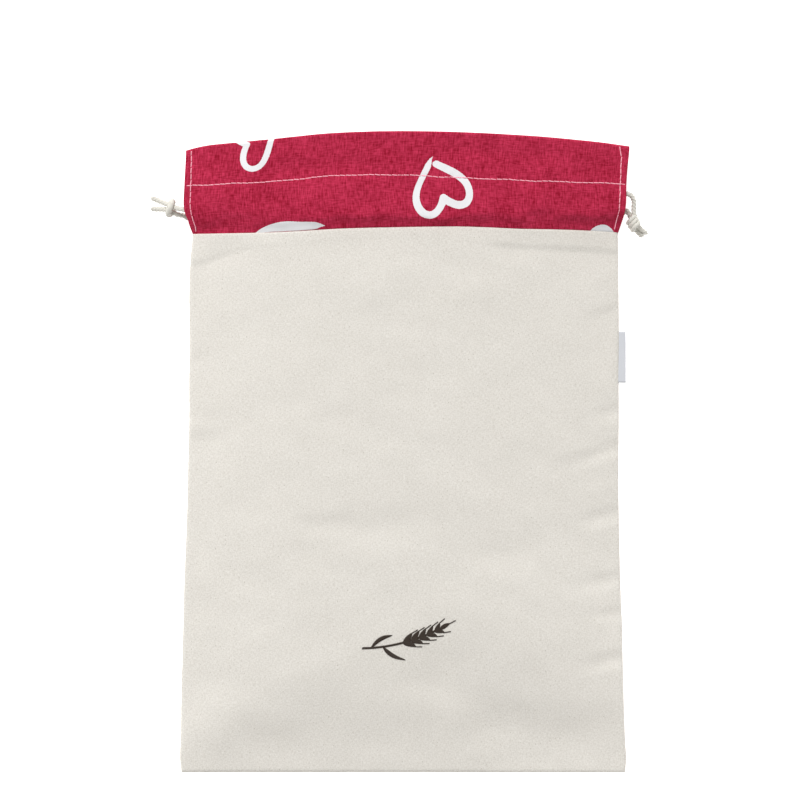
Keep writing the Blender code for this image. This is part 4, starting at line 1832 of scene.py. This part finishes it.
@dataclass
class SideLabel:
    """The ribbon label: a strip folded in two, its ends caught in the right side seam.

    Args:
        half_gap: half the distance between its two halves.
        tucked: how far its ends reach into the seam.
        flare: how far its free end waves up and down.
        waves: how many half waves it makes.
        droop: how far its free end hangs.
    """

    ribbon: float = 0.3 * MM
    half_gap: float = 0.42 * MM
    tucked: float = 1.6 * MM
    flare: float = 0.25 * MM
    waves: float = 1.6
    phase: float = 0.6
    droop: float = 0.3 * MM
    columns: int = 30
    rows: int = 12
    fold_rows: int = 7

    def build(self, look: bpy.types.Material) -> None:
        """Builds the label.

        Args:
            look: its finish.
        """
        low, high = (np.array(corner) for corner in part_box("side_label"))
        middle = (low[2] + high[2]) / 2
        along = np.linspace(low[1], high[1], self.columns)[None, :]
        turn = np.linspace(-math.pi / 2, math.pi / 2, self.fold_rows + 2)[1:-1]
        start, fold = low[0] - self.tucked, high[0] - self.half_gap
        out = start + np.linspace(0, 1, self.rows) * (high[0] - self.half_gap - low[0] + self.tucked)
        path_x = np.concatenate((out, fold + self.half_gap * np.cos(turn), out[::-1]))
        path_z = np.concatenate((-np.ones(self.rows), np.sin(turn), np.ones(self.rows))) * self.half_gap
        wave = self.flare * np.sin((along - low[1]) / (high[1] - low[1]) * math.pi * self.waves + self.phase)
        share = np.clip((path_x - start) / (high[0] - start), 0, 1)[:, None]
        points = np.zeros((len(path_x), self.columns, 3))
        points[..., 0] = path_x[:, None]
        points[..., 1] = along
        points[..., 2] = middle + path_z[:, None] + wave * share - self.droop * share**2
        label = sheet_object("side_ribbon", points[:, ::-1])
        thicken(label, self.ribbon)
        dress(label, look, "label_ribbon", "side_label")


def towards(angle: float) -> np.ndarray:
    """A step of 1 over the cloth, at an angle from the way across it."""
    return np.array([math.cos(angle), math.sin(angle)])


@dataclass
class WheatEar:
    """An ear of wheat embroidered in satin stitch on the front. Sizes in millimetres of the cloth.

    Args:
        middle: where it sits on the floor plan.
        spacing: from one satin stitch to the next.
        stem_low: how far below the middle the stem's foot lies.
        stem_bend: how strongly the stem bends upwards.
        foot: where the stem starts along the design.
        ear_start: where the lowest kernels sit.
        kernel_turn, kernel_bend: how far a kernel is turned out, in degrees, and its middle bent in.
        kernel_less: how much smaller each pair is than the one below.
        awn_turn: how far the bristle beyond a kernel is turned out from the stem, in degrees.
        awn_reach: where it starts and ends, from the kernel's tip.
        leaves: each leaf's place along the stem, the side that it grows to, and its length.
        leaf_way: how far a leaf runs along and away from the stem, for 1 of its length.
        leaf_bend: how far a leaf's middle is bent out.
        top_awn: where the topmost kernel's bristle starts and ends, from the kernel's base.
        top_in: how far before the stem's end that kernel starts.
        bare: the share of a shape that has no thread, at each end.
        fullest: moves the shape's widest place from its middle, 1 for not at all.
        fullness: how pointed it is, 1 for an even curve.
        lean, stem_lean: how far threads lean, on a shape and on the stem, for 1 of their half width.
    """

    middle: tuple[float, float] = (2.3, -123.5)
    thread: float = 0.62
    spacing: float = 0.5
    stem_width: float = 1.8
    stem_low: float = -7.0
    stem_bend: float = 0.0048
    foot: float = -31.0
    ear_start: float = -4.0
    kernels: int = 5
    kernel_step: float = 5.3
    kernel_length: float = 9.6
    kernel_width: float = 4.5
    kernel_turn: float = 30.0
    kernel_bend: float = 0.6
    kernel_less: float = 0.06
    awn_width: float = 0.8
    awn_turn: float = 16.0
    awn_reach: tuple[float, float] = (-1.0, 5.0)
    leaves: tuple[tuple[float, int, float], ...] = ((-25.0, 1, 17.0), (-17.0, -1, 18.0))
    leaf_way: tuple[float, float] = (0.86, 0.5)
    leaf_width: float = 3.6
    leaf_bend: float = 1.8
    top_length: float = 8.0
    top_width: float = 3.8
    top_awn: tuple[float, float] = (7.0, 13.0)
    top_in: float = 1.5
    bare: float = 0.03
    fullest: float = 0.85
    fullness: float = 0.7
    lean: float = 0.45
    stem_lean: float = 0.5

    def stem(self, x: float) -> np.ndarray:
        """The place of the stem's middle at a place along the design."""
        return np.array([x, self.stem_low + self.stem_bend * (x - self.foot) ** 2])

    def slope(self, x: float) -> float:
        """The stem's angle there."""
        return math.atan(2 * self.stem_bend * (x - self.foot))

    def _satin(self, base: np.ndarray, tip: np.ndarray, width: float, bend: float) -> list:
        """The threads that fill a leaf shape.

        Args:
            base: where the shape starts.
            tip: where it ends.
            width: its width.
            bend: how far its middle is bent to the left of its way.

        Returns:
            Both ends of each thread.
        """
        run = tip - base
        length = math.hypot(*run)
        aside = np.array([-run[1], run[0]]) / length
        threads = []
        for share in np.linspace(self.bare, 1 - self.bare, max(int(length / self.spacing), 4)):
            half = width / 2 * math.sin(math.pi * share**self.fullest) ** self.fullness
            centre = base + run * share + aside * bend * math.sin(math.pi * share)
            lean = run / length * half * self.lean
            threads.append((centre - aside * half - lean, centre + aside * half + lean))
        return threads

    def _column(self, places: list, width: float) -> list:
        """The threads that cross a narrow column, each a little aslant.

        Args:
            places: closely spaced places along the column.
            width: its width.

        Returns:
            Both ends of each thread.
        """
        threads = []
        for before, centre, after in zip(places, places[1:], places[2:]):
            way = unit(after - before)
            half = (np.array([-way[1], way[0]]) + way * self.stem_lean) * width / 2
            threads.append((centre - half, centre + half))
        return threads

    def _awn(self, start: np.ndarray, ahead: np.ndarray, reach: tuple[float, float]) -> list:
        """The threads of a bristle that grows ahead, between two distances from its start."""
        return self._column([start + ahead * d for d in np.arange(*reach, self.spacing)], self.awn_width)

    def threads(self) -> list:
        """Draws the design.

        Returns:
            Both ends of each thread.
        """
        end = self.ear_start + self.kernels * self.kernel_step
        found = self._column([self.stem(x) for x in np.arange(self.foot, end, self.spacing)], self.stem_width)
        for x, way, reach in self.leaves:
            base = self.stem(x)
            tip = base + np.array([reach * self.leaf_way[0], way * reach * self.leaf_way[1]])
            found += self._satin(base, tip, self.leaf_width, way * self.leaf_bend)
        for n in range(self.kernels):
            base = self.stem(self.ear_start + n * self.kernel_step)
            size = 1.0 - self.kernel_less * n
            for way in (1, -1):
                ahead = towards(self.slope(base[0]) + way * math.radians(self.kernel_turn))
                tip = base + ahead * self.kernel_length * size
                found += self._satin(base + ahead, tip, self.kernel_width * size, -way * self.kernel_bend)
                ahead = towards(self.slope(base[0]) + way * math.radians(self.awn_turn))
                found += self._awn(tip, ahead, self.awn_reach)
        base, ahead = self.stem(end - self.top_in), towards(self.slope(end))
        found += self._satin(base, base + ahead * self.top_length, self.top_width, 0.0)
        found += self._awn(base, ahead, self.top_awn)
        return found

    def build(self, body: BagBody, look: bpy.types.Material) -> None:
        """Sews the design on the front.

        Args:
            body: the cream cloth.
            look: the thread's finish.
        """
        ends = np.array(self.threads())
        place = (ends.reshape(-1, 2) + np.array(self.middle)) * MM
        across, along = body.front_lay.locate(place[:, 0], place[:, 1])
        points = body.front(across, along).reshape(-1, 2, 3)
        out = facing(body.front, across, along, 1.0).reshape(-1, 2, 3).mean(axis=1)
        runs = [(*pair, way) for pair, way in zip(points, out)]
        thread = Stitches(width=self.thread * MM, rise=0.6 * MM, proud=0.25, sides=6)
        dress(thread.lay("wheat_embroidery", runs), look, "embroidery_thread")


@dataclass
class Studio:
    """A plain white floor, soft light from the upper left and a camera straight above. Metres.

    Args:
        centre: the place on the floor under the middle of the frame.
        frame_width: how much of the floor the frame shows.
        floor_glow: the floor's own light, which keeps it bright where the bag shades it.
        key_power: the lamp's power in watts.
    """

    centre: tuple[float, float] = (-3.1 * MM, 36.1 * MM)
    distance: float = 2.5
    frame_width: float = 0.5416
    sensor: float = 36.0
    floor_size: float = 9.0
    floor_glow: float = 0.8
    key_place: tuple[float, float, float] = (-3.0, 10.2, 11.6)
    key_size: float = 6.6
    key_power: float = 2060.0
    world: float = 0.54

    def _floor(self) -> None:
        """A white floor that stays bright where the bag shades it."""
        deselect()
        bpy.ops.mesh.primitive_plane_add(size=self.floor_size)
        floor = bpy.context.active_object
        floor.name = "floor"
        bpy.ops.object.mode_set(mode="EDIT")
        bpy.ops.mesh.subdivide(number_cuts=3)
        bpy.ops.object.mode_set(mode="OBJECT")
        maker = NodeMaker("floor_white")
        maker.finish(
            Base_Color=(0.9, 0.9, 0.9, 1.0), Roughness=1.0, Specular_IOR_Level=0.0,
            Emission_Color=(1.0, 1.0, 1.0, 1.0), Emission_Strength=self.floor_glow,
        )
        floor.data.materials.append(maker.material)

    def _light(self) -> None:
        """One large soft lamp and an even sky."""
        deselect()
        bpy.ops.object.light_add(type="AREA", location=self.key_place)
        lamp = bpy.context.active_object
        lamp.name = "key_light"
        lamp.data.shape = "SQUARE"
        lamp.data.size = self.key_size
        lamp.data.energy = self.key_power
        lamp.rotation_euler = (-Vector(self.key_place)).to_track_quat("-Z", "Y").to_euler()
        sky = bpy.data.worlds.new("sky")
        bpy.context.scene.world = sky
        sky.use_nodes = True
        background = sky.node_tree.nodes["Background"]
        background.inputs["Color"].default_value = (1.0, 1.0, 1.0, 1.0)
        background.inputs["Strength"].default_value = self.world

    def _camera(self) -> None:
        """A long lens, square on above the bag."""
        deselect()
        bpy.ops.object.camera_add(location=(*self.centre, self.distance), rotation=(0, 0, 0))
        camera = bpy.context.active_object
        camera.name = "camera"
        camera.data.sensor_width = self.sensor
        camera.data.lens = self.sensor * self.distance / self.frame_width
        camera.data.dof.use_dof = False
        bpy.context.scene.camera = camera

    def build(self) -> None:
        """Sets the floor, the light, the camera and plain colours."""
        self._camera()
        self._floor()
        self._light()
        bpy.context.scene.view_settings.view_transform = "Standard"
        bpy.context.scene.view_settings.look = "None"


FRONT_STITCHING = (
    (-147.2, 180.0), (-143.9, 180.3), (-115.0, 181.3), (-86.7, 182.4), (-64.0, 184.6), (-43.2, 186.4),
    (-3.1, 186.5), (37.0, 184.6), (90.5, 182.6), (148.7, 181.4),
)
BACK_STITCHING = ((-146.6, 179.6), (0.0, 180.4), (148.4, 179.8))
FRONT_HEMS = (
    (0.0, 2.0, 3.2), (0.1, 3.4, 4.0), (0.35, 4.6, 4.4), (0.65, 4.4, 4.3), (0.88, 4.0, 5.2), (1.0, 3.8, 7.0),
)
BACK_HEMS = ((0.0, 2.4, 2.4), (0.2, 4.0, 4.0), (1.0, 4.2, 4.2))
FRONT_HEARTS = (
    Heart(-101.5, 1.7, 111.5, size=17.6, tall=0.8, lean=-0.04, brush=2.0),
    Heart(23.9, 39.9, 199.8, size=18.1, tall=1.06, tail=4.6),
    Heart(-79.3, 77.2, 121.5, size=18.8, tall=1.33, lean=0.05, brush=3.8, start=1.2, tail=4.5),
    Heart(133.9, 75.7, -48.6, size=11.8, tall=1.15, lean=-0.07, brush=3.3, start=0.5),
    Heart(52.0, -36.0, 60.0),
    Heart(-28.0, -52.0, 215.0, tall=0.95),
    Heart(126.0, -24.0, -30.0, lean=0.08),
)
FRONT_SHOULDER = (
    (-150.0, -1.2, 12.0), (-122.0, -0.8, 12.0), (-92.0, 0.1, 10.0), (-74.0, 0.8, 9.0), (-60.0, 2.8, 8.5),
    (60.0, 2.9, 8.5), (76.0, 2.8, 9.5), (90.0, 2.6, 14.0), (150.0, 2.6, 14.0),
)
FRONT_CREASES = folds(
    (72.0, 158.0, 100.0, 161.0, 4.0, -0.5, 0.3), (104.0, 156.0, 146.0, 155.5, 4.5, -1.0, 0.3),
    (-120.0, 158.5, -104.0, 156.0, 5.0, -0.8), (-88.0, 188.0, -30.0, 193.0, 12.0, -1.0),
    (30.0, 203.0, 96.0, 199.0, 10.0, -0.7), (118.0, 213.0, 146.0, 211.0, 46.0, 2.2),
)
BACK_HEARTS = (
    Heart(-118.0, -40.0, 20.0),
    Heart(-48.0, -18.0, 160.0, lean=0.08),
    Heart(34.0, -46.0, -70.0, tall=0.95),
    Heart(112.0, -22.0, 205.0, lean=-0.06),
    Heart(-90.0, 34.0, 80.0),
    Heart(8.0, 28.0, -15.0, lean=0.05),
    Heart(104.0, 38.0, 130.0, tall=0.98),
)

CREAM = Woven(
    "cream_linen", deep=tone(202, 196, 185), pale=tone(255, 252, 246), thread=0.7, depth=0.22, gaps=0.75,
    yarn=0.62, slub=1.8, streaks=0.32, bars=0.32, cloud=6.0, mottle=0.02, patches=0.03, flecks=0.8, sheen=0.1,
)
CRIMSON = Woven(
    "crimson_linen", deep=tone(140, 6, 36), pale=tone(200, 52, 86), thread=0.46, depth=0.09, gaps=0.22,
    yarn=0.9, slub=5.5, streaks=0.8, bars=0.6, cloud=15.0, mottle=0.25, patches=0.1, flecks=0.0, sheen=0.0,
    print=Print(tone(230, 230, 232)),
)
COTTON = Spun(
    "cotton_cord", tone(212, 209, 200), fibre=0.35, uneven=0.09, sheen=0.25, roughness=0.9, twisted=True,
)
SEWING = Spun("sewing_thread", tone(248, 172, 188), fibre=0.2, uneven=0.05, sheen=0.1, roughness=0.6)
EMBROIDERY = Spun("embroidery_thread", tone(58, 48, 40), fibre=0.2, uneven=0.2, sheen=0.1, roughness=0.5)
RIBBON = Satin("label_ribbon", tone(205, 207, 212))


def main() -> None:
    """Builds every piece of the bag in order."""
    logging.basicConfig(level=logging.INFO, format="%(message)s")
    Studio().build()
    cotton = COTTON.material()
    Drawstrings().build(cotton)
    body = BagBody()
    body.build(CREAM.material())
    crimson, thread = CRIMSON.material(), SEWING.material()
    for heading in (
        Heading(Side.FRONT, body, FRONT_STITCHING, FRONT_HEMS, FRONT_HEARTS, FRONT_SHOULDER, FRONT_CREASES),
        Heading(Side.BACK, body, BACK_STITCHING, BACK_HEMS, BACK_HEARTS),
    ):
        heading.build(crimson)
        heading.sew(thread)
    SideLabel().build(RIBBON.material())
    WheatEar().build(body, EMBROIDERY.material())
    deselect()


if __name__ == "__main__":
    main()
